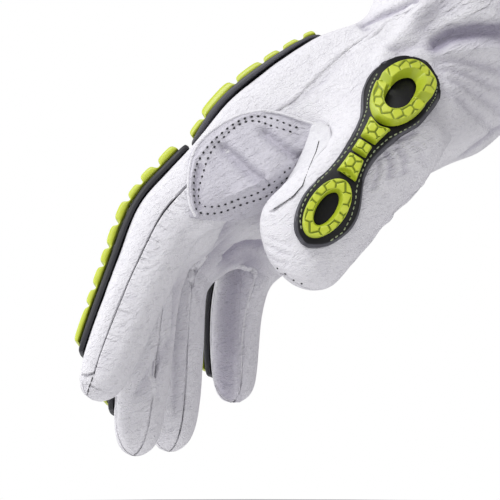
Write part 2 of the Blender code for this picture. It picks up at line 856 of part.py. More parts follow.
def rises(drape, plan, points, faces, lowest):
    """How far to raise each point of the underside, whose flat faces would dip below the curve that they follow."""
    raised = [0.0] * len(points)
    for face in faces:
        if any(plan[corner][2] > lowest[corner] + 1e-6 for corner in face):
            continue
        for shares in UNDERSIDE_SAMPLES:
            a, b, height = (sum(plan[corner][axis] * share for corner, share in zip(face, shares)) for axis in range(3))
            flat = Vector((0, 0, 0))
            for corner, share in zip(face, shares):
                flat += points[corner] * share
            curved = drape.place(a, b, height)
            dip = (curved - flat).dot(curved - drape.place(a, b, height - 1)) / MM
            for corner in face:
                raised[corner] = max(raised[corner], dip / MM)
    return raised


def lofted_solid(name, drape, sections, finish, collection, closed=False):
    """A closed solid through sections, each a loop of the same number of (a, b, height) points.

    Each point of the upper side rises as much as the nearest one of the underside.
    """
    count = len(sections[0])
    plan = [point for section in sections for point in section]
    lowest = [min(height for _, _, height in section) for section in sections for _ in section]
    points = [drape.place(*point) for point in plan]
    faces = []
    spans = len(sections) if closed else len(sections) - 1
    for i in range(spans):
        first, second = i * count, (i + 1) % len(sections) * count
        for k in range(count):
            following = (k + 1) % count
            faces.append((first + k, second + k, second + following, first + following))
    raised = rises(drape, plan, points, faces, lowest)
    for i in range(0, len(plan), count):
        under = [k for k in range(i, i + count) if plan[k][2] <= lowest[k] + 1e-6]
        for k in range(i, i + count):
            below = min(under, key=lambda other: math.hypot(plan[k][0] - plan[other][0], plan[k][1] - plan[other][1]))
            raised[k] = raised[below]
    points = [drape.place(a, b, height + extra) for (a, b, height), extra in zip(plan, raised)]
    if not closed:
        faces.append(tuple(range(count)))
        faces.append(tuple(reversed(range(len(points) - count, len(points)))))
    obj = mesh_object(name, points, faces, collection)
    shape = bmesh.new()
    shape.from_mesh(obj.data)
    bmesh.ops.recalc_face_normals(shape, faces=shape.faces[:])
    shape.to_mesh(obj.data)
    shape.free()
    return dress(obj, finish)


def sheet_section(a, low, high, bottom, top, inset, count):
    """A flat section at plan place `a`, from `low` to `high` across, with its top edges drawn in."""
    shares = [k / (count - 1) for k in range(count)]
    under = [(a, low + (high - low) * share, bottom) for share in shares]
    over = [(a, low + inset + (high - low - 2 * inset) * share, top) for share in reversed(shares)]
    return under + over


def finger_guard(j, skin, collection):
    """The dark base and the strip of lime blocks on one finger."""
    ray = finger_ray(j)
    width = FINGERS[j].guard_width
    name = FINGERS[j].name
    start = FINGERS[j].guard_start
    stations = []
    for share in (start, start + GUARD_CORNER, *GUARD_BASE_SHARES, GUARD_BASE_END - GUARD_CORNER, GUARD_BASE_END):
        narrow = 0.84 if share in (start, GUARD_BASE_END) else 1
        half = GUARD_BASE_HALF * width * narrow
        top = GUARD_BASE_TOP if narrow == 1 else GUARD_BASE_TOP - 0.5
        stations.append(sheet_section(share * 1000, -half, half, BASE_CLEARANCE, top, 0.7, 5))
    base = lofted_solid(f"finger_guard_base_{name}", Drape(skin, ray, DRAPE_REACH), stations, BASE_RUBBER, collection)
    low = PIECE_GAP
    first, last = start + STRIP_INSET, GUARD_BASE_END - STRIP_INSET
    strip = []

    def section(share, height):
        a = (first + (last - first) * share) * 1000
        half = STRIP_HALF * width
        top = half - 0.28 * min(height, 2.5)
        strip.append([(a, -half, low), (a, 0, low), (a, half, low), (a, top, low + height), (a, -top, low + height)])

    for block in FINGER_BLOCKS:
        section(block.start, BLOCK_FLOOR)
        section(block.start + 0.008, block.height)
        section(block.end - 0.008, block.height)
        section(block.end, BLOCK_FLOOR)
    lofted_solid(f"finger_guard_strip_{name}", Drape(skin, ray, DRAPE_REACH, base), strip, LIME_RUBBER, collection)


def back_guard(skin, collection):
    """The dark base over the back of the hand and a strip of lime blocks on each of its bones."""
    stations = []
    for row in BACK_BASE:
        shares = BACK_BASE_SHARES
        under = [(row.along, row.middle + row.half * share, BACK_CLEARANCE) for share in shares]
        over = [(row.along, row.middle + (row.half - 0.8) * share, row.top) for share in reversed(shares)]
        stations.append(under + over)
    base = lofted_solid("back_guard_base", Drape(skin, back_ray, DRAPE_REACH), stations, BASE_RUBBER, collection)
    for finger, along_bone in zip(FINGERS, BACK_STRIPS):
        strip = []

        def section(share, height):
            a = BACK_STRIP_START + (along_bone.end - BACK_STRIP_START) * share
            middle = along_bone.near + (along_bone.far - along_bone.near) * share
            low = PIECE_GAP
            half = BACK_STRIP_HALF
            top = half - 0.25 * height
            strip.append(
                [
                    (a, middle - half, low),
                    (a, middle + half, low),
                    (a, middle + top, low + height),
                    (a, middle - top, low + height),
                ]
            )

        for block in BACK_BLOCKS:
            section(block.start, BLOCK_FLOOR)
            section(block.start + 0.012, block.height)
            section(block.end - 0.012, block.height)
            section(block.end, BLOCK_FLOOR)
        over_base = Drape(skin, back_ray, DRAPE_REACH, base)
        lofted_solid(f"back_guard_strip_{finger.name}", over_base, strip, LIME_RUBBER, collection)


def thumb_guard(skin, collection):
    """The dumbbell base on the thumb, its two lime rings and the three blocks between them."""

    def leant(a, b, height, below=0):
        return (a + GUARD_LEAN[0] * (height + below), b + GUARD_LEAN[1] * (height + below), height)

    stations = []
    for row in GUARD_OUTLINE:
        section = sheet_section(row.along, row.left, row.right, BASE_CLEARANCE, THUMB_BASE_TOP, 0.6, 5)
        stations.append([leant(*point) for point in section])
    over_skin = Drape(skin, guard_ray, FRONT_REACH)
    base = lofted_solid("thumb_guard_base", over_skin, stations, BASE_RUBBER, collection)
    drape = Drape(skin, guard_ray, FRONT_REACH, base)
    low = PIECE_GAP
    for ring in GUARD_RINGS:
        sections = []
        for angle in ring_angles(ring):
            height = BLOCK_FLOOR if any(abs(angle - channel) < ring.channel_half for channel in ring.channels) else ring.height
            section = []
            for share, rise in RING_PROFILE:
                long = ring.long + (ring.hole_long - ring.long) * share
                wide = ring.wide + (ring.hole_wide - ring.wide) * share
                turned = math.radians(angle)
                turn = math.radians(ring.turn)
                x, y = long * math.cos(turned), wide * math.sin(turned)
                a = ring.along + x * math.cos(turn) - y * math.sin(turn)
                b = ring.across + x * math.sin(turn) + y * math.cos(turn)
                section.append(leant(a, b, low + height * rise, THUMB_BASE_TOP))
            sections.append(section)
        lofted_solid(ring.name, drape, sections, LIME_RUBBER, collection, closed=True)
    for block in GUARD_BLOCKS:
        sections = []
        for share, inset, top in ((0, 0, 0), (0.06, 0.5, 1), (0.5, 0.5, 1), (0.94, 0.5, 1), (1, 0, 0)):
            left = block.near_left + (block.far_left - block.near_left) * share
            right = block.near_right + (block.far_right - block.near_right) * share
            middle = (left + right) / 2
            section = []
            for b, is_top in ((left, 0), (middle, 0), (right, 0), (right - inset, 1), (middle, 1), (left + inset, 1)):
                near = block.near + (block.near_hollow if b == middle else 0)
                far = block.far - (block.far_hollow if b == middle else 0)
                rise = block.height * (0.25 + 0.75 * top) if is_top else 0
                section.append(leant(near + (far - near) * share, b, low + rise, THUMB_BASE_TOP))
            sections.append(section)
        lofted_solid(block.name, drape, sections, LIME_RUBBER, collection)


def ring_angles(ring):
    """Where the sections of a guard ring stand, close together at the walls of its channels."""
    angles = [360 * k / RING_SECTIONS for k in range(RING_SECTIONS)]
    near = ring.channel_half + 4
    for channel in ring.channels:
        angles = [angle for angle in angles if abs(angle - channel) > near]
        angles += [channel + side * (ring.channel_half + step) for side in (-1, 1) for step in (-1, 2)]
    return sorted(angles)


def crotch_patch(drape, collection):
    """The second layer of leather between thumb and index finger."""
    stations = [
        sheet_section_upright(row.across, row.low, row.high) for row in PATCH_ROWS
    ]
    lofted_solid("crotch_patch", drape, stations, LEATHER_FINISH, collection)


def sheet_section_upright(x, low, high):
    """A section of the patch, from `low` to `high` in the photo's frame."""
    shares = [k / (PATCH_POINTS - 1) for k in range(PATCH_POINTS)]
    under = [(x, low + (high - low) * share, BASE_CLEARANCE) for share in shares]
    over = [(x, low + 0.3 + (high - low - 0.6) * share, BASE_CLEARANCE + PATCH_THICKNESS) for share in reversed(shares)]
    return under + over


def main():
    for obj in list(bpy.data.objects):
        bpy.data.objects.remove(obj)
    glove = bpy.data.collections.new("work_glove")
    guides = bpy.data.collections.new("guides")
    guides.hide_render = True
    bpy.context.scene.collection.children.link(glove)
    bpy.context.scene.collection.children.link(guides)
    skin = Skin(glove_cage(), guides)
    for panel in range(len(PANEL_NAMES)):
        panel_solid(skin, panel, glove)
    for j in range(4):
        finger_guard(j, skin, glove)
    back_guard(skin, glove)
    thumb_guard(skin, glove)
    crotch_patch(Drape(skin, front_ray, FRONT_REACH), glove)


if __name__ == "__main__":
    main()
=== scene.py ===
"""White leather work glove with rubber impact guards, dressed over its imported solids.

Lengths are in metres, unless a comment or a docstring says otherwise. X runs to the right of the
picture, Y away from the camera and Z up, and the origin is the middle of the wrist.
"""

import logging
import math
from dataclasses import dataclass, field
from enum import Enum
from typing import Iterable, Sequence

import bmesh
import bpy
import numpy as np
from mathutils import Matrix, Vector, noise
from mathutils.bvhtree import BVHTree
from mathutils.kdtree import KDTree

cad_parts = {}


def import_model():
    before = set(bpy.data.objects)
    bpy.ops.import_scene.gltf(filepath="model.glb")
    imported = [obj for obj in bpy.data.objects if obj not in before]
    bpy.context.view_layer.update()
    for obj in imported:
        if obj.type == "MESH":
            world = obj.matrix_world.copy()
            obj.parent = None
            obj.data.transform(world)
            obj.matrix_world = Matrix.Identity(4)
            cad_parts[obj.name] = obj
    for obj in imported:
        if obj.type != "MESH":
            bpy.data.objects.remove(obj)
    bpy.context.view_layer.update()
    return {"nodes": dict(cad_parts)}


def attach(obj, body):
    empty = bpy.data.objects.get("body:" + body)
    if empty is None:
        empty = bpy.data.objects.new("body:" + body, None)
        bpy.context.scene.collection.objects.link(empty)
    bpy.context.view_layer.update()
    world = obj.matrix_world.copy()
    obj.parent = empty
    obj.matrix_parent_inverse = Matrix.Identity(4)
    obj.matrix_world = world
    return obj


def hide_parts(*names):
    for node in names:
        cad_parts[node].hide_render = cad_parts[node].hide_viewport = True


MM = 0.001
LOG = logging.getLogger("glove")

Node = bpy.types.Node
Socket = bpy.types.NodeSocket
Mesh = bpy.types.Mesh
Piece = bpy.types.Object

# The direction from the wrist to the fingers.
ALONG = Vector((-0.8387, 0.0, -0.5446))


class Slot(Enum):
    """The record's material slots."""

    LEATHER = "white_leather"
    DARK = "dark_rubber"
    LIME = "lime_rubber"


@dataclass(frozen=True)
class View:
    """The picture's camera: level, looking along +Y, aimed at a point of the plane Y = 0.

    `per_pixel` is a pixel's size in that plane. `nearness` makes it smaller where the folds lie.
    """

    aim_x: float = -0.0718
    aim_z: float = -0.0696
    distance: float = 0.9
    per_pixel: float = 0.00037
    pixels: int = 500
    sensor: float = 36.0
    nearness: float = 0.94

    def build(self) -> None:
        """Adds the camera and makes it the scene's own."""
        data = bpy.data.cameras.new("picture_camera")
        data.sensor_width = self.sensor
        data.lens = self.sensor * self.distance / (self.pixels * self.per_pixel)
        camera = bpy.data.objects.new("picture_camera", data)
        camera.location = (self.aim_x, -self.distance, self.aim_z)
        camera.rotation_euler = (math.pi / 2, 0, 0)
        bpy.context.scene.collection.objects.link(camera)
        bpy.context.scene.camera = camera

    def ray(self, column: float, row: float) -> tuple[Vector, Vector]:
        """The line of sight through a place of the picture.

        Args:
            column: Pixels from the left edge.
            row: Pixels from the top edge.

        Returns:
            Its start and its direction.
        """
        start = Vector((self.aim_x, -self.distance, self.aim_z))
        middle = self.pixels / 2
        aim = Vector(((column - middle) * self.per_pixel, self.distance, (middle - row) * self.per_pixel))
        return start, aim.normalized()

    def places(self, points: np.ndarray) -> np.ndarray:
        """Where points are seen.

        Args:
            points: One point in each row.

        Returns:
            Column and row in pixels, one pair in each row.
        """
        scale = self.distance / (self.distance + points[:, 1]) / self.per_pixel
        columns = self.pixels / 2 + (points[:, 0] - self.aim_x) * scale
        rows = self.pixels / 2 - (points[:, 2] - self.aim_z) * scale
        return np.stack([columns, rows], axis=1)


VIEW = View()


class Bench:
    """Adds and links the nodes of one node tree."""

    def __init__(self, tree: bpy.types.NodeTree) -> None:
        """Takes the tree that the nodes go into."""
        self.tree = tree

    def feed(self, socket: Socket, value: object) -> None:
        """Links a socket to an output, or sets its plain value.

        Args:
            socket: The input to feed.
            value: An output socket, or a number, vector or colour.
        """
        if isinstance(value, Socket):
            self.tree.links.new(value, socket)
        else:
            socket.default_value = value

    def add(self, kind: str, inputs: dict, **settings: object) -> Node:
        """Adds a node.

        Args:
            kind: The node's type name.
            inputs: What goes into its sockets, by the socket's name or number.
            **settings: Its properties.

        Returns:
            The node.
        """
        node = self.tree.nodes.new(kind)
        for name, value in settings.items():
            setattr(node, name, value)
        for name, value in inputs.items():
            self.feed(node.inputs[name], value)
        return node

    def math(self, operation: str, *values: object) -> Socket:
        """The result of a Math node on one to three values."""
        return self.add("ShaderNodeMath", dict(enumerate(values)), operation=operation).outputs[0]

    def spread(self, value: object, low: float, high: float, ends: tuple = (0.0, 1.0)) -> Socket:
        """A value taken smoothly from the range low to high into the range of `ends`.

        Args:
            value: The value or its socket.
            low: Where the range starts.
            high: Where it ends.
            ends: What the result is there.

        Returns:
            The result's socket.
        """
        inputs = {0: value, 1: low, 2: high, 3: ends[0], 4: ends[1]}
        node = self.add("ShaderNodeMapRange", inputs, interpolation_type="SMOOTHSTEP")
        return node.outputs[0]

    def noise(self, place: object, scale: float, detail: float, rough: float = 0.5) -> Socket:
        """A noise texture's value at a place, with its scale per metre."""
        inputs = {"Vector": place, "Scale": scale, "Detail": detail, "Roughness": rough}
        return self.add("ShaderNodeTexNoise", inputs).outputs[0]

    def stretched(self, place: object, turn: Sequence[float], scale: Sequence[float]) -> Socket:
        """A place turned by angles in degrees and then scaled along its axes.

        Args:
            place: The place's socket.
            turn: An angle round each axis.
            scale: A scale along each axis.

        Returns:
            The new place's socket.
        """
        angles = tuple(math.radians(angle) for angle in turn)
        turned = self.add("ShaderNodeMapping", {"Vector": place, "Rotation": angles}, vector_type="POINT")
        return self.add("ShaderNodeMapping", {"Vector": turned.outputs[0], "Scale": scale}).outputs[0]

    def warped(self, place: object, scale: float, detail: float, amount: float) -> Socket:
        """A place shifted by a noise texture.

        Args:
            place: The place's socket.
            scale: The noise's scale per metre.
            detail: Its detail.
            amount: The most that it shifts by along an axis, in metres.

        Returns:
            The new place's socket.
        """
        warp = self.add("ShaderNodeTexNoise", {"Vector": place, "Scale": scale, "Detail": detail})
        inputs = {0: warp.outputs["Color"], "Scale": amount}
        shift = self.add("ShaderNodeVectorMath", inputs, operation="SCALE")
        return self.add("ShaderNodeVectorMath", {0: place, 1: shift.outputs[0]}, operation="ADD").outputs[0]

    def attribute(self, name: str) -> Socket:
        """The number that a mesh keeps on its points under a name, or 0."""
        return self.add("ShaderNodeAttribute", {}, attribute_name=name).outputs["Fac"]

    def bump(self, height: object, distance: float, strength: float = 1.0, over: object = None) -> Socket:
        """The normal of a bump, over another bump's normal where there is one.

        Args:
            height: The height's socket.
            distance: What a height of 1 stands for, in metres.
            strength: The bump's strength.
            over: The other bump's normal.

        Returns:
            The normal's socket.
        """
        inputs = {"Height": height, "Distance": distance, "Strength": strength}
        if over is not None:
            inputs["Normal"] = over
        return self.add("ShaderNodeBump", inputs).outputs[0]

    def mixed(self, share: object, first: object, second: object) -> Socket:
        """Two colours mixed by a share.

        Args:
            share: How much of the second colour.
            first: The first colour.
            second: The second colour.

        Returns:
            The mixed colour's socket.
        """
        node = self.add("ShaderNodeMix", {}, data_type="RGBA")
        self.feed(node.inputs[0], share)
        self.feed(node.inputs[6], first)
        self.feed(node.inputs[7], second)
        return node.outputs[2]


class EffectGroup:
    """A shader node group that is built once and placed in each material that uses it."""

    name = "effect"
    takes: tuple = ()
    gives: tuple = ()

    def tree(self) -> bpy.types.NodeTree:
        """The group's node tree, built on its first use.

        Returns:
            The node tree.
        """
        if self.name in bpy.data.node_groups:
            return bpy.data.node_groups[self.name]
        tree = bpy.data.node_groups.new(self.name, "ShaderNodeTree")
        for name, kind in self.takes:
            tree.interface.new_socket(name=name, in_out="INPUT", socket_type=kind)
        for name, kind in self.gives:
            tree.interface.new_socket(name=name, in_out="OUTPUT", socket_type=kind)
        bench = Bench(tree)
        start = bench.add("NodeGroupInput", {})
        end = bench.add("NodeGroupOutput", {})
        self.fill(bench, start, end)
        return tree

    def fill(self, bench: Bench, start: Node, end: Node) -> None:
        """Adds the group's nodes between its input and its output node."""
        raise NotImplementedError

    def place(self, bench: Bench, inputs: dict) -> Node:
        """Places the group in a material.

        Args:
            bench: The material's bench.
            inputs: What goes into the group, by name.

        Returns:
            The group's node.
        """
        node = bench.add("ShaderNodeGroup", {}, node_tree=self.tree())
        for name, value in inputs.items():
            bench.feed(node.inputs[name], value)
        return node


class PebbleGrain(EffectGroup):
    """The fine grain of goatskin: small pebbles with thin creases that run mostly one way."""

    name = "pebble_grain"
    takes = (("Place", "NodeSocketVector"), ("Pebbles", "NodeSocketFloat"), ("Creases", "NodeSocketFloat"))
    gives = (("Height", "NodeSocketFloat"), ("Valley", "NodeSocketFloat"))
    warp = (420.0, 2.0, 0.0009)
    turn = (0, 24, 0)
    pebble_shape = (0.75, 0.9, 1.3)
    smoothness = 0.35
    hollows = (0.1, 0.62)
    hollow_height = -0.55
    hollow_shade = 0.5
    line_shape = (0.4, 0.5, 1.3)
    line_noise = (900.0, 2.0)
    lines = (0.5, 0.72)
    swell_noise = (520.0, 1.0)
    swell_height = 0.4

    def fill(self, bench: Bench, start: Node, end: Node) -> None:
        """Adds cells, crease lines and fine noise.

        Args:
            bench: Adds the group's nodes.
            start: The group's input node.
            end: Its output node.
        """
        moved = bench.warped(start.outputs["Place"], *self.warp)
        squeezed = bench.stretched(moved, self.turn, self.pebble_shape)
        inputs = {"Vector": squeezed, "Scale": start.outputs["Pebbles"], "Smoothness": self.smoothness}
        cells = bench.add("ShaderNodeTexVoronoi", inputs, feature="SMOOTH_F1")
        hollow = bench.spread(cells.outputs[0], *self.hollows)
        lines = bench.noise(bench.stretched(moved, self.turn, self.line_shape), *self.line_noise)
        crease = bench.math("MULTIPLY", bench.spread(lines, *self.lines), start.outputs["Creases"])
        swell = bench.math("MULTIPLY", bench.noise(moved, *self.swell_noise), self.swell_height)
        lowered = bench.math("MULTIPLY_ADD", hollow, self.hollow_height, swell)
        bench.feed(end.inputs["Height"], bench.math("SUBTRACT", lowered, crease))
        # The valley mask gives painted shade, and more roughness, in the hollows between pebbles and in the
        # creases.
        bench.feed(end.inputs["Valley"], bench.math("MULTIPLY_ADD", hollow, self.hollow_shade, crease))


class CoarseWrinkles(EffectGroup):
    """The wrinkles of leather that is bent often: long shallow creases that fork and join."""

    name = "coarse_wrinkles"
    takes = (("Place", "NodeSocketVector"),)
    gives = (("Height", "NodeSocketFloat"), ("Valley", "NodeSocketFloat"))
    warp = (110.0, 1.0, 0.0035)
    turn = (0, 30, 0)
    line_shape = (0.28, 0.6, 1.5)
    line_noise = (380.0, 1.0)
    lines = (0.3, 0.62)

    def fill(self, bench: Bench, start: Node, end: Node) -> None:
        """Adds bent crease lines over small swells.

        Args:
            bench: Adds the group's nodes.
            start: The group's input node.
            end: Its output node.
        """
        moved = bench.warped(start.outputs["Place"], *self.warp)
        lines = bench.noise(bench.stretched(moved, self.turn, self.line_shape), *self.line_noise)
        swells = bench.spread(lines, *self.lines)
        bench.feed(end.inputs["Height"], swells)
        # The valley mask is where the leather gets painted shade: between the wrinkles' swells.
        bench.feed(end.inputs["Valley"], bench.math("SUBTRACT", 1.0, swells))


class MouldedSkin(EffectGroup):
    """The matte skin of moulded rubber: a fine stipple and soft cloudy wear."""

    name = "moulded_skin"
    takes = (("Place", "NodeSocketVector"), ("Stipple", "NodeSocketFloat"))
    gives = (("Height", "NodeSocketFloat"), ("Wear", "NodeSocketFloat"))
    stipple_detail = 2.0
    cloud_noise = (190.0, 4.0, 0.6)
    clouds = (0.42, 0.68)

    def fill(self, bench: Bench, start: Node, end: Node) -> None:
        """Adds the stipple and the wear.

        Args:
            bench: Adds the group's nodes.
            start: The group's input node.
            end: Its output node.
        """
        place = start.outputs["Place"]
        stipple = bench.noise(place, start.outputs["Stipple"], self.stipple_detail)
        bench.feed(end.inputs["Height"], stipple)
        bench.feed(end.inputs["Wear"], bench.spread(bench.noise(place, *self.cloud_noise), *self.clouds))


@dataclass(frozen=True)
class Finish:
    """What one material is made from. Colours are linear, and heights are in metres."""

    name: str

    def material(self) -> bpy.types.Material:
        """The finish as a material, built on its first use.

        Returns:
            The material.
        """
        if self.name in bpy.data.materials:
            return bpy.data.materials[self.name]
        material = bpy.data.materials.new(self.name)
        material.use_nodes = True
        bench = Bench(material.node_tree)
        place = bench.add("ShaderNodeTexCoord", {}).outputs["Object"]
        self.paint(bench, material.node_tree.nodes["Principled BSDF"].inputs, place)
        return material

    def paint(self, bench: Bench, shader: bpy.types.bpy_prop_collection, place: Socket) -> None:
        """Feeds the shader's inputs from the object's coordinates."""
        raise NotImplementedError


@dataclass(frozen=True)
class LeatherFinish(Finish):
    """White grain leather, mixed towards `painted_shade_colour` as painted shade in the grain's hollows and
    creases, along folds, in pleats and in wrinkle valleys, and a little by random clouds of tone.
    """

    colour: tuple = (0.80, 0.795, 0.82)
    painted_shade_colour: tuple = (0.36, 0.34, 0.42)
    pebbles: float = 1500.0
    creases: float = 0.5
    grain: float = 0.00028
    wrinkles: float = 0.00042
    gathers: float = 0.0007
    roughness: float = 0.52
    valley_roughness: float = 0.2
    shine: float = 0.3
    pleat_scale: float = 300.0
    pleat_range: tuple = (0.3, 0.7)
    cloud_noise: tuple = (95.0, 3.0, 0.55)
    cloud_range: tuple = (0.4, 0.7)
    # Shares of painted shade in the grain's hollows, along folds, in pleats and in wrinkle valleys; the last
    # share is random cloudy tone.
    grain_shade: float = 0.26
    fold_shade: float = 0.85
    pleat_shade: float = 0.07
    wrinkle_shade: float = 0.10
    cloud_tone: float = 0.05

    def paint(self, bench: Bench, shader: bpy.types.bpy_prop_collection, place: Socket) -> None:
        """Feeds the shader's inputs from the object's coordinates.

        Args:
            bench: Adds the material's nodes.
            shader: The shader's inputs.
            place: The object's coordinates.
        """
        inputs = {"Place": place, "Pebbles": self.pebbles, "Creases": self.creases}
        grain = PebbleGrain().place(bench, inputs)
        coarse = CoarseWrinkles().place(bench, {"Place": place})
        fold, gather, along, worn = map(bench.attribute, ("fold", "gather", "along", "worn"))
        inputs = {"W": along, "Scale": self.pleat_scale, "Detail": 1.0}
        wave = bench.add("ShaderNodeTexNoise", inputs, noise_dimensions="1D").outputs[0]
        pleats = bench.math("MULTIPLY", bench.spread(wave, *self.pleat_range), gather)
        wrinkled = bench.math("MULTIPLY", coarse.outputs["Valley"], worn)
        clouds = bench.spread(bench.noise(place, *self.cloud_noise), *self.cloud_range)
        # Painted shade: grain hollows and creases, the stored fold shade, pleats and wrinkle valleys mix the
        # colour towards the painted shade colour, and the clouds add random tone.
        shade = bench.math("MULTIPLY", grain.outputs["Valley"], self.grain_shade)
        for mask, share in (
            (fold, self.fold_shade),
            (pleats, self.pleat_shade),
            (wrinkled, self.wrinkle_shade),
            (clouds, self.cloud_tone),
        ):
            shade = bench.math("MULTIPLY_ADD", mask, share, shade)
        shade = bench.math("MINIMUM", shade, 1.0)
        bench.feed(shader["Base Color"], bench.mixed(shade, (*self.colour, 1), (*self.painted_shade_colour, 1)))
        rough = bench.math("MULTIPLY_ADD", grain.outputs["Valley"], self.valley_roughness, self.roughness)
        bench.feed(shader["Roughness"], rough)
        bench.feed(shader["Specular IOR Level"], self.shine)
        pulled = bench.bump(bench.math("MULTIPLY", pleats, -1.0), self.gathers)
        raised = bench.math("MULTIPLY", coarse.outputs["Height"], worn)
        bent = bench.bump(raised, self.wrinkles, over=pulled)
        bench.feed(shader["Normal"], bench.bump(grain.outputs["Height"], self.grain, over=bent))


@dataclass(frozen=True)
class RubberFinish(Finish):
    """Moulded rubber: its own colour and its wear's colour, with painted shade in its grooves and painted
    light on its side walls: a pale reflection on dark rubber, darker shade on lime.
    """

    colour: tuple
    depth: tuple
    worn: tuple
    wall: tuple
    roughness: float
    shine: float = 0.5
    stipple: float = 5200.0
    grain: float = 0.00004
    grain_strength: float = 0.8
    worn_share: float = 0.5
    worn_roughness: float = 0.1

    def paint(self, bench: Bench, shader: bpy.types.bpy_prop_collection, place: Socket) -> None:
        """Feeds the shader's inputs from the object's coordinates.

        Args:
            bench: Adds the material's nodes.
            shader: The shader's inputs.
            place: The object's coordinates.
        """
        skin = MouldedSkin().place(bench, {"Place": place, "Stipple": self.stipple})
        worn = bench.math("MULTIPLY", skin.outputs["Wear"], self.worn_share)
        colour = bench.mixed(worn, (*self.colour, 1), (*self.worn, 1))
        # Painted light: the `wall` mask mixes in the side walls' painted reflection on dark rubber and
        # painted shade on lime, and the `groove` mask the grooves' painted shade.
        colour = bench.mixed(bench.attribute("wall"), colour, (*self.wall, 1))
        bench.feed(shader["Base Color"], bench.mixed(bench.attribute("groove"), colour, (*self.depth, 1)))
        bench.feed(shader["Specular IOR Level"], self.shine)
        rough = bench.math("MULTIPLY_ADD", skin.outputs["Wear"], self.worn_roughness, self.roughness)
        bench.feed(shader["Roughness"], rough)
        bench.feed(shader["Normal"], bench.bump(skin.outputs["Height"], self.grain, self.grain_strength))


@dataclass(frozen=True)
class ThreadFinish(Finish):
    """Twisted sewing thread, and the needle-hole finish, whose dark dots paint the shade inside needle holes
    and whose dark line along the crotch band is a seam that also paints the fold's shadow.
    """

    colour: tuple
    roughness: float = 0.6
    dark_share: float = 0.6
    twists: float = 900.0
    bend: float = 1.5
    twist_height: float = 0.0001
    twist_strength: float = 0.6
    twist_roughness: float = 0.15

    def paint(self, bench: Bench, shader: bpy.types.bpy_prop_collection, place: Socket) -> None:
        """Feeds the shader's inputs from the object's coordinates.

        Args:
            bench: Adds the material's nodes.
            shader: The shader's inputs.
            place: The object's coordinates.
        """
        inputs = {"Vector": place, "Scale": self.twists, "Distortion": self.bend}
        twist = bench.add("ShaderNodeTexWave", inputs, bands_direction="DIAGONAL").outputs[1]
        dark = tuple(value * self.dark_share for value in self.colour)
        bench.feed(shader["Base Color"], bench.mixed(twist, (*dark, 1), (*self.colour, 1)))
        rough = bench.math("MULTIPLY_ADD", twist, self.twist_roughness, self.roughness)
        bench.feed(shader["Roughness"], rough)
        bench.feed(shader["Normal"], bench.bump(twist, self.twist_height, self.twist_strength))


@dataclass(frozen=True)
class PaperFinish(Finish):
    """The studio floor's pale paper."""

    dark: tuple = (0.86, 0.86, 0.86)
    pale: tuple = (0.9, 0.9, 0.9)
    cloud_noise: tuple = (6.0, 2.0)
    roughness: float = 0.8

    def paint(self, bench: Bench, shader: bpy.types.bpy_prop_collection, place: Socket) -> None:
        """Feeds the shader's inputs from the object's coordinates.

        Args:
            bench: Adds the material's nodes.
            shader: The shader's inputs.
            place: The object's coordinates.
        """
        cloud = bench.noise(place, *self.cloud_noise)
        bench.feed(shader["Base Color"], bench.mixed(cloud, (*self.dark, 1), (*self.pale, 1)))
        bench.feed(shader["Roughness"], self.roughness)


LEATHER = LeatherFinish("goatskin")
PATCH_LEATHER = LeatherFinish("patch_goatskin", colour=(0.60, 0.59, 0.64))
BAND_LEATHER = LeatherFinish("smooth_goatskin", colour=(0.74, 0.74, 0.76), grain=0.00016)
# Its wall colour paints a pale reflection on the sides of the dark bases; its depth colour paints shade in
# grooves.
DARK_RUBBER = RubberFinish(
    "moulded_dark_rubber",
    colour=(0.003, 0.003, 0.004),
    depth=(0.002, 0.002, 0.002),
    worn=(0.005, 0.005, 0.006),
    wall=(0.10, 0.10, 0.115),
    roughness=0.46,
    shine=0.3,
)
# Its wall colour paints shade on the lime sides; its depth colour paints shade in the hexagon grooves.
LIME_RUBBER = RubberFinish(
    "moulded_lime_rubber",
    colour=(0.52, 0.60, 0.035),
    depth=(0.13, 0.18, 0.01),
    worn=(0.58, 0.66, 0.07),
    wall=(0.41, 0.50, 0.02),
    roughness=0.36,
)
BLACK_THREAD = ThreadFinish("black_thread", (0.02, 0.02, 0.024))
GREY_THREAD = ThreadFinish("grey_thread", (0.5, 0.49, 0.54))
PALE_THREAD = ThreadFinish("pale_green_thread", (0.45, 0.52, 0.32))
# Dark dots that paint the shade inside needle holes, and the crotch band's dark seam line, which also paints
# the fold's shadow.
HOLE_SHADE = ThreadFinish("needle_hole", (0.03, 0.03, 0.035))


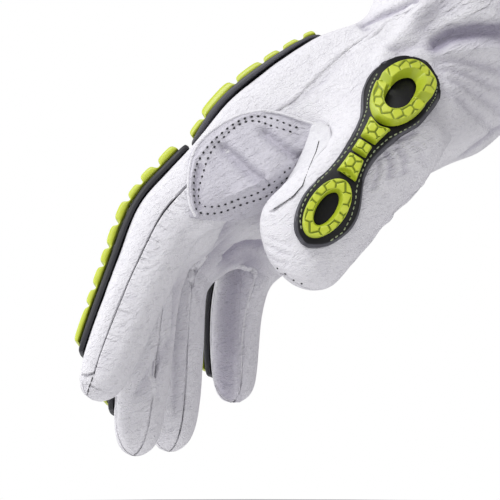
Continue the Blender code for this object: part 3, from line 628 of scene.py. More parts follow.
class Workshop:
    """Copies, refines and joins meshes with Blender's operators.

    Points nearer to each other than `weld` are merged. `pull` is the share of its error that a held point is
    moved by in one round.
    """

    weld = 2e-6
    pull = 0.8

    @staticmethod
    def only(*objs: Piece) -> None:
        """Selects these objects alone, and makes the first one active.

        Args:
            *objs: The objects.
        """
        bpy.ops.object.select_all(action="DESELECT")
        for obj in objs:
            obj.select_set(True)
        bpy.context.view_layer.objects.active = objs[0]

    @classmethod
    def copied(cls, node: Piece, name: str) -> Piece:
        """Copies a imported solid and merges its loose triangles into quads.

        Args:
            node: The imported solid's object.
            name: The new piece's name.

        Returns:
            The new object.
        """
        piece = bpy.data.objects.new(name, node.data.copy())
        piece.data.name = name
        bpy.context.scene.collection.objects.link(piece)
        piece.data.materials.clear()
        cls.only(piece)
        bpy.ops.object.mode_set(mode="EDIT")
        bpy.ops.mesh.select_all(action="SELECT")
        bpy.ops.mesh.remove_doubles(threshold=cls.weld)
        bpy.ops.mesh.tris_convert_to_quads(face_threshold=math.pi, shape_threshold=math.pi)
        bpy.ops.mesh.customdata_custom_splitnormals_clear()
        bpy.ops.object.mode_set(mode="OBJECT")
        bpy.ops.object.shade_smooth()
        return piece

    @staticmethod
    def crease(piece: Piece, angle: float, strength: float) -> None:
        """Gives the edges that are sharper than an angle in degrees this crease strength.

        Args:
            piece: The piece's object.
            angle: The angle between two faces.
            strength: The crease, from 0 to 1.
        """
        mesh = piece.data
        layer = mesh.attributes.get("crease_edge") or mesh.attributes.new("crease_edge", "FLOAT", "EDGE")
        work = bmesh.new()
        work.from_mesh(mesh)
        sharp = [edge.calc_face_angle(0) > math.radians(angle) for edge in work.edges]
        work.free()
        layer.data.foreach_set("value", [strength if is_sharp else 0.0 for is_sharp in sharp])

    @staticmethod
    def subdivision(piece: Piece, levels: int) -> bpy.types.Modifier:
        """Adds a Subdivision Surface that keeps corners.

        Args:
            piece: The piece's object.
            levels: How often it divides.

        Returns:
            The modifier.
        """
        smooth = piece.modifiers.new("Smooth", "SUBSURF")
        smooth.levels = levels
        smooth.render_levels = levels
        smooth.boundary_smooth = "PRESERVE_CORNERS"
        return smooth

    @classmethod
    def refined(cls, piece: Piece, levels: int) -> None:
        """Applies a Subdivision Surface to a piece."""
        cls.only(piece)
        bpy.ops.object.modifier_apply(modifier=cls.subdivision(piece, levels).name)

    @classmethod
    def moulded(cls, node: Piece, name: str, angle: float, strength: float, levels: int) -> Piece:
        """A refined copy of a rubber solid. Its edges over an angle in degrees get a crease strength.

        Args:
            node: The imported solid's object.
            name: Its name.
            angle: The angle between two faces.
            strength: The crease, from 0 to 1.
            levels: How often the copy is divided.

        Returns:
            The copy.
        """
        piece = cls.copied(node, f"{name}_rubber")
        cls.crease(piece, angle, strength)
        cls.refined(piece, levels)
        return piece

    @classmethod
    def held(cls, piece: Piece, rounds: int = 3) -> None:
        """Moves a coarse mesh so that its subdivided surface passes through its own points.

        Args:
            piece: The piece's object.
            rounds: How often it is corrected.
        """
        mesh = piece.data
        wanted = cls.points(mesh)
        placed = wanted.copy()
        smooth = cls.subdivision(piece, 2)
        for _ in range(rounds):
            mesh.update()
            bpy.context.view_layer.update()
            evaluated = piece.evaluated_get(bpy.context.evaluated_depsgraph_get())
            reached = cls.points(evaluated.to_mesh())[: len(wanted)]
            evaluated.to_mesh_clear()
            placed += (wanted - reached) * cls.pull
            mesh.vertices.foreach_set("co", placed.ravel())
        piece.modifiers.remove(smooth)
        mesh.update()

    @staticmethod
    def move(mesh: Mesh, points: np.ndarray) -> None:
        """Puts the mesh's points where these rows say."""
        mesh.vertices.foreach_set("co", points.ravel())
        mesh.update()

    @staticmethod
    def points(mesh: Mesh) -> np.ndarray:
        """The mesh's points, one in each row.

        Args:
            mesh: The mesh.

        Returns:
            The points.
        """
        points = np.empty(len(mesh.vertices) * 3)
        mesh.vertices.foreach_get("co", points)
        return points.reshape(-1, 3)

    @staticmethod
    def normals(mesh: Mesh) -> np.ndarray:
        """The mesh's vertex normals, one in each row.

        Args:
            mesh: The mesh.

        Returns:
            The normals.
        """
        normals = np.empty(len(mesh.vertices) * 3, np.float32)
        mesh.vertex_normals.foreach_get("vector", normals)
        return normals.reshape(-1, 3).astype(float)

    @staticmethod
    def store(mesh: Mesh, name: str, values: np.ndarray) -> None:
        """Keeps one number for each point as a named attribute."""
        layer = mesh.attributes.get(name) or mesh.attributes.new(name, "FLOAT", "POINT")
        layer.data.foreach_set("value", values.astype(np.float32))

    @staticmethod
    def kept(mesh: Mesh, name: str) -> np.ndarray:
        """The numbers of a named attribute.

        Args:
            mesh: The mesh.
            name: The attribute's name.

        Returns:
            One number for each point.
        """
        values = np.empty(len(mesh.vertices), np.float32)
        mesh.attributes[name].data.foreach_get("value", values)
        return values.astype(float)

    @classmethod
    def joined(cls, pieces: Sequence[Piece], name: str) -> Piece:
        """Joins pieces into one of this name, with its place in its mesh.

        Args:
            pieces: What is joined.
            name: The new piece's name.

        Returns:
            The whole piece.
        """
        cls.only(*pieces)
        if len(pieces) > 1:
            bpy.ops.object.join()
        whole = bpy.context.view_layer.objects.active
        whole.name = name
        whole.data.name = name
        bpy.ops.object.transform_apply(location=True, rotation=True, scale=True)
        return whole

    @classmethod
    def tube(cls, line: "Line") -> Piece:
        """A round cord along a line, as thick as the line's radii say, as a mesh.

        Args:
            line: Where it lies.

        Returns:
            The cord.
        """
        curve = bpy.data.curves.new("tube", "CURVE")
        curve.dimensions = "3D"
        curve.bevel_depth = MM
        curve.bevel_resolution = 2
        curve.resolution_u = 4
        curve.use_fill_caps = True
        spline = curve.splines.new("BEZIER")
        spline.bezier_points.add(len(line.points) - 1)
        radii = np.broadcast_to(line.radii, len(line.points))
        for knot, point, radius in zip(spline.bezier_points, line.points, radii):
            knot.co = point
            knot.radius = radius / MM
            knot.handle_left_type = "AUTO"
            knot.handle_right_type = "AUTO"
        tube = bpy.data.objects.new("tube", curve)
        bpy.context.scene.collection.objects.link(tube)
        cls.only(tube)
        bpy.ops.object.convert(target="MESH")
        return bpy.context.view_layer.objects.active

    @staticmethod
    def finished(piece: Piece, finish: Finish, slot: Slot, *nodes: str) -> None:
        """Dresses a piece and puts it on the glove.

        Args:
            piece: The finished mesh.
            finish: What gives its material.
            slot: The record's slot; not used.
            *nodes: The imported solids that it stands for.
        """
        piece.data.materials.clear()
        piece.data.materials.append(finish.material())
        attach(piece, "root")
        if nodes:
            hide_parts(*nodes)
        LOG.info("%s: %d faces", piece.name, len(piece.data.polygons))


class Surface:
    """A mesh that things are laid on."""

    def __init__(self, piece: Piece) -> None:
        """Takes the piece's mesh as it is now.

        Args:
            piece: The piece's object.
        """
        self.normals = Workshop.normals(piece.data)
        self.faces = [tuple(polygon.vertices) for polygon in piece.data.polygons]
        points = [Vector(point) for point in Workshop.points(piece.data)]
        self.tree = BVHTree.FromPolygons(points, self.faces)

    def seen(self, column: float, row: float) -> tuple[Vector, Vector] | None:
        """The point and normal that the camera sees at a place of the picture, or None.

        Args:
            column: Pixels from the left edge.
            row: Pixels from the top edge.

        Returns:
            Both, or None where the surface isn't there.
        """
        start, aim = VIEW.ray(column, row)
        hit, normal, _, _ = self.tree.ray_cast(start, aim)
        return None if hit is None else (hit, normal)

    def up_near(self, point: np.ndarray) -> Vector:
        """The smooth normal where the surface is nearest to a point."""
        _, _, index, _ = self.tree.find_nearest(Vector(point))
        return Vector(self.normals[list(self.faces[index])].mean(axis=0)).normalized()


def interpolated(wanted: np.ndarray, run: np.ndarray, rows: np.ndarray) -> np.ndarray:
    """Rows at wanted distances along a line, whose own rows lie at the distances `run`."""
    return np.stack([np.interp(wanted, run, column) for column in rows.T], axis=1)


@dataclass
class Line:
    """A line over a surface: its points, and the surface's outward direction at each of them.

    A cord that is laid along it is as thick as `radii` say: one number, or one for each point.
    """

    points: np.ndarray
    ups: np.ndarray
    closed: bool = False
    radii: np.ndarray | float = 0.0

    def rows(self) -> np.ndarray:
        """Point and outward direction in each row. A closed line's first row comes again at its end."""
        rows = np.hstack([self.points, self.ups])
        return np.vstack([rows, rows[:1]]) if self.closed else rows

    @staticmethod
    def run(points: np.ndarray) -> np.ndarray:
        """How far along their line points lie."""
        steps = np.linalg.norm(np.diff(points, axis=0), axis=1)
        return np.concatenate([[0], np.cumsum(steps)])

    def at(self, shares: np.ndarray) -> np.ndarray:
        """Points at shares of the line's length."""
        run = self.run(self.points)
        return interpolated(shares, run / run[-1], self.points)

    def spaced(self, pitch: float) -> list[tuple[Vector, Vector, Vector]]:
        """Places at an even distance along the line.

        Args:
            pitch: The distance from one place to the next.

        Returns:
            Point, direction and outward direction of each place.
        """
        rows = self.rows()
        run = self.run(rows[:, :3])
        count = max(int(run[-1] / pitch), 1)
        wanted = run[-1] * (np.arange(count) + 0.5) / count
        tails, placed, heads = (interpolated(wanted + step, run, rows) for step in (-pitch / 3, 0, pitch / 3))
        places = []
        for tail, row, head in zip(tails, placed, heads):
            direction = Vector(head[:3] - tail[:3]).normalized()
            places.append((Vector(row[:3]), direction, Vector(row[3:]).normalized()))
        return places


def laid(surfaces: Sequence[Surface], places: Sequence) -> Line:
    """A line over what is seen first at each place of the picture. Places that show nothing are left out.

    Args:
        surfaces: What the line lies on.
        places: Column and row of each place, in pixels.

    Returns:
        The line.
    """
    rows = []
    for place in places:
        seen = [surface.seen(*place) for surface in surfaces]
        seen = [found for found in seen if found]
        if seen:
            hit, up = min(seen, key=lambda found: found[0].y)
            rows.append([*hit, *up])
    rows = np.array(rows)
    return Line(rows[:, :3], rows[:, 3:])


@dataclass(frozen=True)
class StitchRow:
    """A row of stitches: one is modelled, and the others are copies of it."""

    name: str
    finish: ThreadFinish
    pitch: float
    length: float
    half_width: float
    lift: float = 0.0

    def model(self) -> Piece:
        """One stitch: a sphere that is turned, stretched to its length and thinned to its width.

        Returns:
            The stitch.
        """
        bpy.ops.object.select_all(action="DESELECT")
        bpy.ops.mesh.primitive_uv_sphere_add(segments=8, ring_count=6, radius=1)
        stitch = bpy.context.view_layer.objects.active
        bpy.ops.object.mode_set(mode="EDIT")
        bpy.ops.mesh.select_all(action="SELECT")
        bpy.ops.transform.rotate(value=math.pi / 2, orient_axis="Y", center_override=(0, 0, 0))
        bpy.ops.transform.resize(value=(self.length / 2, self.half_width, self.half_width))
        bpy.ops.object.mode_set(mode="OBJECT")
        bpy.ops.object.shade_smooth()
        return stitch

    def build(self, lines: Iterable[Line], slot: Slot) -> None:
        """Sews the row along its lines.

        Args:
            lines: Where it runs.
            slot: The record's slot, handed on to `Workshop.finished`.
        """
        spots = []
        for line in lines:
            for point, direction, up in line.spaced(self.pitch):
                side = up.cross(direction).normalized()
                axes = Matrix((direction, side, direction.cross(side))).transposed().to_4x4()
                spots.append(Matrix.Translation(point + up * self.lift) @ axes)
        self.copy_to(spots, slot)

    def copy_to(self, spots: Iterable[Matrix], slot: Slot) -> None:
        """Puts a copy of the stitch at each of these places, and joins them into one piece.

        Args:
            spots: Place and turn of each copy.
            slot: The record's slot, handed on to `Workshop.finished`.
        """
        stitch = self.model()
        copies = []
        for spot in spots:
            copy = bpy.data.objects.new(self.name, stitch.data.copy())
            copy.data.transform(spot)
            bpy.context.scene.collection.objects.link(copy)
            copies.append(copy)
        bpy.data.objects.remove(stitch)
        Workshop.finished(Workshop.joined(copies, self.name), self.finish, slot)


# Name, thread, pitch, length, half width and lift.
INDEX_STITCHES = StitchRow("index_seam_stitches", BLACK_THREAD, 0.0021, 0.0021, 0.00021)
PATCH_STITCHES = StitchRow("patch_stitches", GREY_THREAD, 0.0024, 0.0016, 0.00019, 0.00002)
# The needle holes' dark dots are painted shade; the crotch seam is a dark seam line that also paints the
# shadow along the band's fold.
PATCH_NEEDLE_HOLES = StitchRow("patch_needle_holes", HOLE_SHADE, 0.0024, 0.0010, 0.00040, 0.00001)
BAND_SHADOW_SEAM_STITCHES = StitchRow("crotch_shadow_seam", HOLE_SHADE, 0.0012, 0.0017, 0.00020)
THUMB_NEEDLE_HOLES = StitchRow("thumb_needle_holes", HOLE_SHADE, 1.0, 0.00085, 0.00036)
GUARD_STITCHES = StitchRow("guard_stitches", PALE_THREAD, 0.0019, 0.0013, 0.00024, 0.00004)


@dataclass(frozen=True)
class Fold:
    """A crease or a swell, drawn over the picture.

    The points are in pixels. A positive depth goes into the leather. Depth and half widths are in
    millimetres, and `shade` is painted shade that darkens the leather's colour along the crease; where one
    side is much wider, as below the palm's ledges, it paints a shadow there. `left` is the half width on the
    left of the line's way, where it differs. Leather that stands nearer the camera than Y = `behind` is left
    as it is.
    """

    points: tuple
    depth: float
    half_width: float
    shade: float = 0.0
    left: float = 0.0
    behind: float = -1000.0

    def weight(self, places: np.ndarray) -> np.ndarray:
        """How much of the fold reaches places of the picture, from 0 to 1.

        Args:
            places: Column and row in pixels, one pair in each row.

        Returns:
            The weights.
        """
        distance, _, side = line_distance(places, self.points)
        width = np.where(side < 0, self.left or self.half_width, self.half_width) * MM
        return np.exp(-((distance * VIEW.per_pixel * VIEW.nearness / width) ** 2))


# How far an outward direction leans to the camera where the picture's folds have their full depth.
FULLY_FACING = 0.3

# The least squared length of a line's step, so that none is divided by nothing.
LEAST_SQUARE = 1e-18


def folded(points: np.ndarray, outward: np.ndarray, folds: Sequence[Fold]) -> tuple[np.ndarray, np.ndarray]:
    """How far the picture's folds move each point outwards in metres, and how much painted shade they put on
    it.

    Args:
        points: One point in each row.
        outward: The outward direction at each point.
        folds: The folds to press in.

    Returns:
        The move outwards, and the painted shade from 0 up.
    """
    facing = eased(-outward[:, 1], 0.0, FULLY_FACING)
    places = VIEW.places(points)
    rise = np.zeros(len(points))
    shade = np.zeros(len(points))
    for fold in folds:
        weight = fold.weight(places) * facing * (points[:, 1] > fold.behind * MM)
        rise -= weight * fold.depth * MM
        # Painted shade along the fold.
        shade = np.maximum(shade, weight * fold.shade)
    return rise, shade


def line_distance(places: np.ndarray, line: Sequence) -> tuple[np.ndarray, np.ndarray, np.ndarray]:
    """The distance of places to an open line.

    Args:
        places: One place in each row, in two or three dimensions.
        line: The line's points, one in each row.

    Returns:
        The distances, how far along the line the nearest point lies, and in a picture which side of the line
        each place is on: above 0 to the right of its way.
    """
    line = np.asarray(line, float)
    best = np.full(len(places), np.inf)
    where = np.zeros(len(places))
    side = np.zeros(len(places))
    run = 0.0
    for start, end in zip(line[:-1], line[1:]):
        step = end - start
        length = float(np.linalg.norm(step))
        offset = places - start
        share = np.clip(offset @ step / max(length**2, LEAST_SQUARE), 0, 1)
        distance = np.linalg.norm(offset - share[:, None] * step, axis=1)
        nearer = distance < best
        best[nearer] = distance[nearer]
        where[nearer] = run + share[nearer] * length
        side[nearer] = (step[0] * offset[:, 1] - step[1] * offset[:, 0])[nearer]
        run += length
    return best, where, side


def eased(values: np.ndarray, low: float, high: float) -> np.ndarray:
    """Values taken smoothly from 0 at `low` to 1 at `high`."""
    share = np.clip((values - low) / (high - low), 0, 1)
    return share * share * (3 - 2 * share)


# The soft waviness of worn leather: the height and the length of its waves.
WAVES = ((0.00026, 0.015), (0.00008, 0.0052))


def unevenness(points: np.ndarray) -> np.ndarray:
    """How far worn leather waves outwards at each point, in metres.

    Args:
        points: One point in each row.

    Returns:
        The distances.
    """
    rise = np.empty(len(points))
    for index, point in enumerate(points):
        place = Vector(point)
        rise[index] = sum(height * noise.noise(place / length) for height, length in WAVES)
    return rise


@dataclass
class LeatherShell:
    """The sewn leather: refined copies of the panels, with the picture's folds and a groove at each seam."""

    folds: tuple
    panels: tuple = (
        "leather_back",
        "leather_palm",
        "leather_thumb_inner",
        "fourchette_index_middle",
        "fourchette_middle_ring",
        "fourchette_ring_little",
    )
    levels: int = 3
    rim_angle: float = 50.0
    groove_depth: float = 0.00012
    groove_width: float = 0.0013
    gather_width: float = 0.0048
    gather_pixels: tuple = (8.0, 18.0)
    pillow: float = 0.00012
    pillow_away: float = 2.6 * MM
    pillow_width: float = 1.8 * MM
    lining_share: float = 0.85
    least_worn: float = 0.05
    worn_core: float = 0.3
    directions: int = 40
    cuff_cone: float = 0.55
    ray_start: float = 0.0005
    ray_reach: float = 0.5
    least_free: int = 2
    most_faces: int = 190_000
    pieces: dict = field(default_factory=dict)
    seams: dict = field(default_factory=dict)

    def build(self, nodes: dict) -> None:
        """Builds every panel.

        Args:
            nodes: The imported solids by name.
        """
        tree = self.all_walls(nodes)
        for name in self.panels:
            piece = Workshop.copied(nodes[name], f"{name}_skin")
            self.mark_outside(piece, tree)
            self.seams[name] = self.rims(piece)
            Workshop.crease(piece, self.rim_angle, 1.0)
            Workshop.held(piece)
            Workshop.refined(piece, self.levels)
            self.thin_lining(piece)
            self.shape(piece, name)
            Workshop.finished(piece, LEATHER, Slot.LEATHER, name)
            self.pieces[name] = piece

    def thin_lining(self, piece: Piece) -> None:
        """Takes faces out of the lining of a panel that has more than `most_faces` triangles.

        Args:
            piece: The panel.
        """
        count = sum(len(polygon.vertices) - 2 for polygon in piece.data.polygons)
        if count <= self.most_faces:
            return
        lining = piece.vertex_groups.new(name="lining")
        inside = np.flatnonzero(Workshop.kept(piece.data, "outside") < 0.5)
        lining.add(inside.tolist(), 1.0, "REPLACE")
        thin = piece.modifiers.new("Thin", "DECIMATE")
        thin.ratio = self.most_faces / count
        thin.vertex_group = lining.name
        Workshop.only(piece)
        bpy.ops.object.modifier_apply(modifier=thin.name)
        piece.vertex_groups.clear()

    def all_walls(self, nodes: dict) -> BVHTree:
        """One tree of all the leather walls, to tell inside from outside.

        Args:
            nodes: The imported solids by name.

        Returns:
            The tree.
        """
        points, faces = [], []
        for name in self.panels:
            mesh = nodes[name].data
            start = len(points)
            points += [vertex.co.copy() for vertex in mesh.vertices]
            faces += [tuple(start + vertex for vertex in polygon.vertices) for polygon in mesh.polygons]
        return BVHTree.FromPolygons(points, faces)

    def mark_outside(self, piece: Piece, tree: BVHTree) -> None:
        """Stores 1 on the points of a panel's outer face and 0 on those of its lining.

        A point is outside where at least `least_free` rays reach the open. None goes out through the cuff.

        Args:
            piece: The panel.
            tree: All the leather's walls.
        """
        mesh = piece.data
        points, normals = Workshop.points(mesh), Workshop.normals(mesh)
        golden = math.pi * (3 - math.sqrt(5))
        rays = []
        for k in range(self.directions):
            height = 1 - 2 * (k + 0.5) / self.directions
            radius = math.sqrt(1 - height * height)
            ray = Vector((radius * math.cos(golden * k), radius * math.sin(golden * k), height))
            if ray.dot(-ALONG) < self.cuff_cone:
                rays.append(ray)
        outside = np.zeros(len(points))
        for index, (point, normal) in enumerate(zip(points, normals)):
            start = Vector(point + normal * self.ray_start)
            free = sum(tree.ray_cast(start, ray, self.ray_reach)[0] is None for ray in rays)
            outside[index] = free >= self.least_free
        Workshop.store(mesh, "outside", outside)

    def rims(self, piece: Piece) -> list[Line]:
        """The outer edges of a panel as lines, with the outward direction at each point.

        Args:
            piece: The panel, with its outer points marked.

        Returns:
            One line for each rim.
        """
        outside = Workshop.kept(piece.data, "outside") > 0.5
        work = bmesh.new()
        work.from_mesh(piece.data)
        follow = {}
        for edge in work.edges:
            if not all(outside[vertex.index] for vertex in edge.verts) or len(edge.link_faces) != 2:
                continue
            wholly = [all(outside[vertex.index] for vertex in face.verts) for face in edge.link_faces]
            if sum(wholly) == 1:
                for first, second in ((0, 1), (1, 0)):
                    follow.setdefault(edge.verts[first].index, []).append(edge.verts[second].index)
        rim = [vertex for vertex in work.verts if vertex.index in follow]
        ups = {vertex.index: self.outer_normal(vertex, outside) for vertex in rim}
        places = {vertex.index: np.array(vertex.co) for vertex in rim}
        work.free()
        lines = []
        for start in sorted(follow):
            while follow[start]:
                ahead = self.walked(start, follow)
                chain = self.walked(start, follow)[:0:-1] + ahead
                closed = chain[0] == chain[-1]
                chain = chain[:-1] if closed else chain
                if len(chain) > 2:
                    points = np.array([places[vertex] for vertex in chain])
                    lines.append(Line(points, np.array([ups[vertex] for vertex in chain]), closed))
        return lines

    @staticmethod
    def walked(start: int, follow: dict) -> list[int]:
        """A walk from a point along edges that no walk has used, which it takes out of `follow`.

        Args:
            start: The first point's number.
            follow: The points that edges lead to, by point.

        Returns:
            The numbers of the points in order.
        """
        chain = [start]
        while follow[chain[-1]]:
            here = chain[-1]
            ahead = follow[here].pop()
            follow[ahead].remove(here)
            chain.append(ahead)
        return chain

    @staticmethod
    def outer_normal(vertex: bmesh.types.BMVert, outside: np.ndarray) -> np.ndarray:
        """The mean normal of the outer faces at a point of the rim.

        Args:
            vertex: The point.
            outside: Which points are on the outer face.

        Returns:
            The normal.
        """
        total = Vector((0, 0, 0))
        for face in vertex.link_faces:
            if all(outside[corner.index] for corner in face.verts):
                total += face.normal
        return np.array(total.normalized())

    def shape(self, piece: Piece, panel: str) -> None:
        """Moves the refined points: seam grooves, the picture's folds and the leather's own unevenness.

        Args:
            piece: The refined panel.
            panel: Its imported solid's name.
        """
        mesh = piece.data
        points, normals = Workshop.points(mesh), Workshop.normals(mesh)
        outside = Workshop.kept(mesh, "outside")
        outward = normals * np.where(outside > 0.5, 1.0, -1.0)[:, None]
        distance = np.full(len(points), np.inf)
        along = np.zeros(len(points))
        for seam in self.seams[panel]:
            here, run, _ = line_distance(points, seam.rows()[:, :3])
            nearer = here < distance
            distance[nearer] = here[nearer]
            along[nearer] = run[nearer]
        places = VIEW.places(points)
        rise = unevenness(points)
        rise -= self.groove_depth * np.exp(-((distance / self.groove_width) ** 2))
        rise += self.pillow * np.exp(-(((distance - self.pillow_away) / self.pillow_width) ** 2))
        moved, shade = folded(points, outward, self.folds)
        rise += moved
        rise *= np.where(outside > 0.5, outside, self.lining_share)
        Workshop.move(mesh, points + outward * rise[:, None])
        if panel == "leather_palm":
            pulled, _, _ = line_distance(places, INDEX_SEAM)
            near_seam = np.exp(-((distance / self.gather_width) ** 2))
            Workshop.store(mesh, "gather", near_seam * (1 - eased(pulled, *self.gather_pixels)))
            Workshop.store(mesh, "along", along)
        # The folds' painted shade, which the leather's material mixes in.
        Workshop.store(mesh, "fold", np.clip(shade, 0, 1))
        Workshop.store(mesh, "worn", self.worn(places))

    def worn(self, places: np.ndarray) -> np.ndarray:
        """How strongly the leather is wrinkled at each place of the picture.

        Args:
            places: Column and row in pixels, one pair in each row.

        Returns:
            The strengths, from 0 to 1.
        """
        amount = np.full(len(places), self.least_worn)
        for column, row, reach, most in WORN_SPOTS:
            away = np.hypot(places[:, 0] - column, places[:, 1] - row)
            amount = np.maximum(amount, most * (1 - eased(away, reach * self.worn_core, reach)))
        return amount


@dataclass
class Seams:
    """The sewing of the leather: a welt down every seam, and black stitches down the index finger's side."""

    overlap: float = 0.0009
    thickest: float = 0.0013
    crown: float = 0.00005
    reach: float = 0.0034
    rounds: int = 8
    most_shift: float = 0.0011
    end_share: float = 0.5
    thread_height: float = 0.00014
    beside_pixels: float = 7.0
    last_row: float = 371.0
    most_turned: float = 0.15
    least_points: int = 4

    def build(self, shell: LeatherShell) -> None:
        """Lays the welts, and sews the index finger's seam.

        Args:
            shell: The leather with its seam lines.
        """
        lines = self.between_panels(shell)
        for line in lines:
            moved, _ = folded(line.points, line.ups, shell.folds)
            moved += unevenness(line.points) - shell.groove_depth
            line.points = line.points + line.ups * moved[:, None]
        welts = Workshop.joined([Workshop.tube(line) for line in lines], "seam_welts")
        Workshop.finished(welts, LEATHER, Slot.LEATHER)
        sewn = [part for line in lines for part in self.on_index(line)]
        sewn.append(self.tip_row([*shell.pieces.values(), welts]))
        INDEX_STITCHES.build(sewn, Slot.LEATHER)

    def between_panels(self, shell: LeatherShell) -> list[Line]:
        """The lines midway between the rims of two panels, each seam once.

        Args:
            shell: The leather with its seam lines.

        Returns:
            The lines of the welts.
        """
        names = list(shell.seams)
        rims = {name: np.vstack([self.dense(line) for line in shell.seams[name]]) for name in names}
        found = []
        for order, name in enumerate(names[:-1]):
            later = np.vstack([rims[other] for other in names[order + 1 :]])
            for line in shell.seams[name]:
                found += self.facing_part(line, later)
        return found

    @staticmethod
    def dense(line: Line) -> np.ndarray:
        """A line's points and outward directions in one row each, with three more in each step.

        Args:
            line: The line.

        Returns:
            The rows.
        """
        rows = line.rows()
        shares = np.arange(0, 1, 0.25)[:, None]
        return np.vstack([start + (end - start) * shares for start, end in zip(rows[:-1], rows[1:])])

    def facing_part(self, line: Line, others: np.ndarray) -> list[Line]:
        """The parts of a panel's rim that run along another panel's, moved to the middle of the gap.

        Args:
            line: The rim.
            others: The rows of the other panels' rims.

        Returns:
            One line for each part.
        """
        rows = line.rows()
        parts, middles, outward, radii = [], [], [], []
        for index, row in enumerate(rows):
            away = np.linalg.norm(others[:, :3] - row[:3], axis=1)
            facing = away.min() < self.reach
            if facing:
                middle = (row + others[away.argmin()]) / 2
                up = middle[3:] / np.linalg.norm(middle[3:])
                radii.append(min(away.min() / 2 + self.overlap, self.thickest))
                middles.append(middle[:3] - up * (radii[-1] - self.crown))
                outward.append(up)
            if len(middles) > 2 and (not facing or index == len(rows) - 1):
                parts.append(self.evened(np.column_stack([middles, outward, radii])))
            if not facing:
                middles, outward, radii = [], [], []
        return parts

    def evened(self, rows: np.ndarray) -> Line:
        """A welt's line without kinks, thinner at its ends; rows hold points, directions and radii.

        Args:
            rows: One for each place of the welt.

        Returns:
            The line with its radii.
        """
        first = rows[:, :3].copy()
        for _ in range(self.rounds):
            rows[1:-1] = rows[:-2] * 0.25 + rows[1:-1] * 0.5 + rows[2:] * 0.25
        shift = rows[:, :3] - first
        far = np.maximum(np.linalg.norm(shift, axis=1) / self.most_shift, 1)
        rows[:, :3] = first + shift / far[:, None]
        ups = rows[:, 3:6] / np.linalg.norm(rows[:, 3:6], axis=1)[:, None]
        radii = rows[:, 6]
        radii[[0, -1]] *= self.end_share
        return Line(rows[:, :3], ups, radii=radii)

    def tip_row(self, pieces: Iterable[Piece]) -> Line:
        """The last stitches of the index finger's seam, down to its tip.

        Args:
            pieces: What they lie on.

        Returns:
            The line.
        """
        line = laid([Surface(piece) for piece in pieces], INDEX_TIP)
        line.points = line.points + line.ups * self.thread_height
        return line

    def on_index(self, line: Line) -> list[Line]:
        """The part of a seam that shows black stitches in the picture.

        Args:
            line: The welt's line.

        Returns:
            One line for each part that shows.
        """
        places = VIEW.places(line.points)
        away, _, _ = line_distance(places, INDEX_SEAM)
        near = (away < self.beside_pixels) & (places[:, 1] < self.last_row)
        near &= line.ups[:, 1] < self.most_turned
        parts, start = [], None
        for index, is_near in enumerate([*near, False]):
            if is_near and start is None:
                start = index
            if not is_near and start is not None:
                if index - start >= self.least_points:
                    here = slice(start, index)
                    height = line.radii[here] + self.thread_height
                    parts.append(Line(line.points[here] + line.ups[here] * height[:, None], line.ups[here]))
                start = None
        return parts


@dataclass
class CrotchPatch:
    """The double stitched second layer between thumb and index finger."""

    rows: tuple
    folds: tuple
    lip: tuple
    levels: int = 4
    rim_angle: float = 50.0
    rim_crease: float = 0.8
    lip_radius: float = 0.00055
    uneven_share: float = 0.8
    wear: float = 0.45

    def build(self, nodes: dict) -> Piece:
        """Refines the patch, rolls its edge and sews its rows.

        Args:
            nodes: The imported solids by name.

        Returns:
            The patch.
        """
        piece = Workshop.copied(nodes["crotch_patch"], "crotch_patch_leather")
        Workshop.crease(piece, self.rim_angle, self.rim_crease)
        Workshop.refined(piece, self.levels)
        self.shape(piece)
        surface = Surface(piece)
        Workshop.finished(piece, PATCH_LEATHER, Slot.LEATHER, "crotch_patch")
        edge = laid([surface], self.lip)
        edge.radii = self.lip_radius
        roll = Workshop.joined([Workshop.tube(edge)], "patch_rolled_edge")
        Workshop.finished(roll, LEATHER, Slot.LEATHER)
        lines = [laid([surface], row) for row in self.rows]
        PATCH_STITCHES.build(lines, Slot.LEATHER)
        # Dark dots between the stitches paint the shade inside the needle holes.
        shifted = [self.between(line, PATCH_STITCHES.pitch) for line in lines]
        PATCH_NEEDLE_HOLES.build(shifted, Slot.LEATHER)
        return piece

    def shape(self, piece: Piece) -> None:
        """Presses the picture's folds into the patch, and gives it the leather's unevenness.

        Args:
            piece: The refined patch.
        """
        mesh = piece.data
        points, normals = Workshop.points(mesh), Workshop.normals(mesh)
        outward = np.where(normals[:, 1:2] < 0, normals, -normals)
        rise, shade = folded(points, outward, self.folds)
        rise += unevenness(points) * self.uneven_share
        Workshop.move(mesh, points + outward * rise[:, None])
        # The folds' painted shade, which the leather's material mixes in.
        Workshop.store(mesh, "fold", np.clip(shade, 0, 1))
        Workshop.store(mesh, "worn", np.full(len(points), self.wear))

    @staticmethod
    def between(line: Line, pitch: float) -> Line:
        """The same line shifted by half a pitch, so that the holes fall between the stitches.

        Args:
            line: The line of the stitches.
            pitch: Their distance.

        Returns:
            The line of the holes.
        """
        places = line.spaced(pitch)
        middles = [(first[0] + second[0]) / 2 for first, second in zip(places[:-1], places[1:])]
        ups = [first[2] for first in places[:-1]]
        return Line(np.array(middles), np.array(ups))


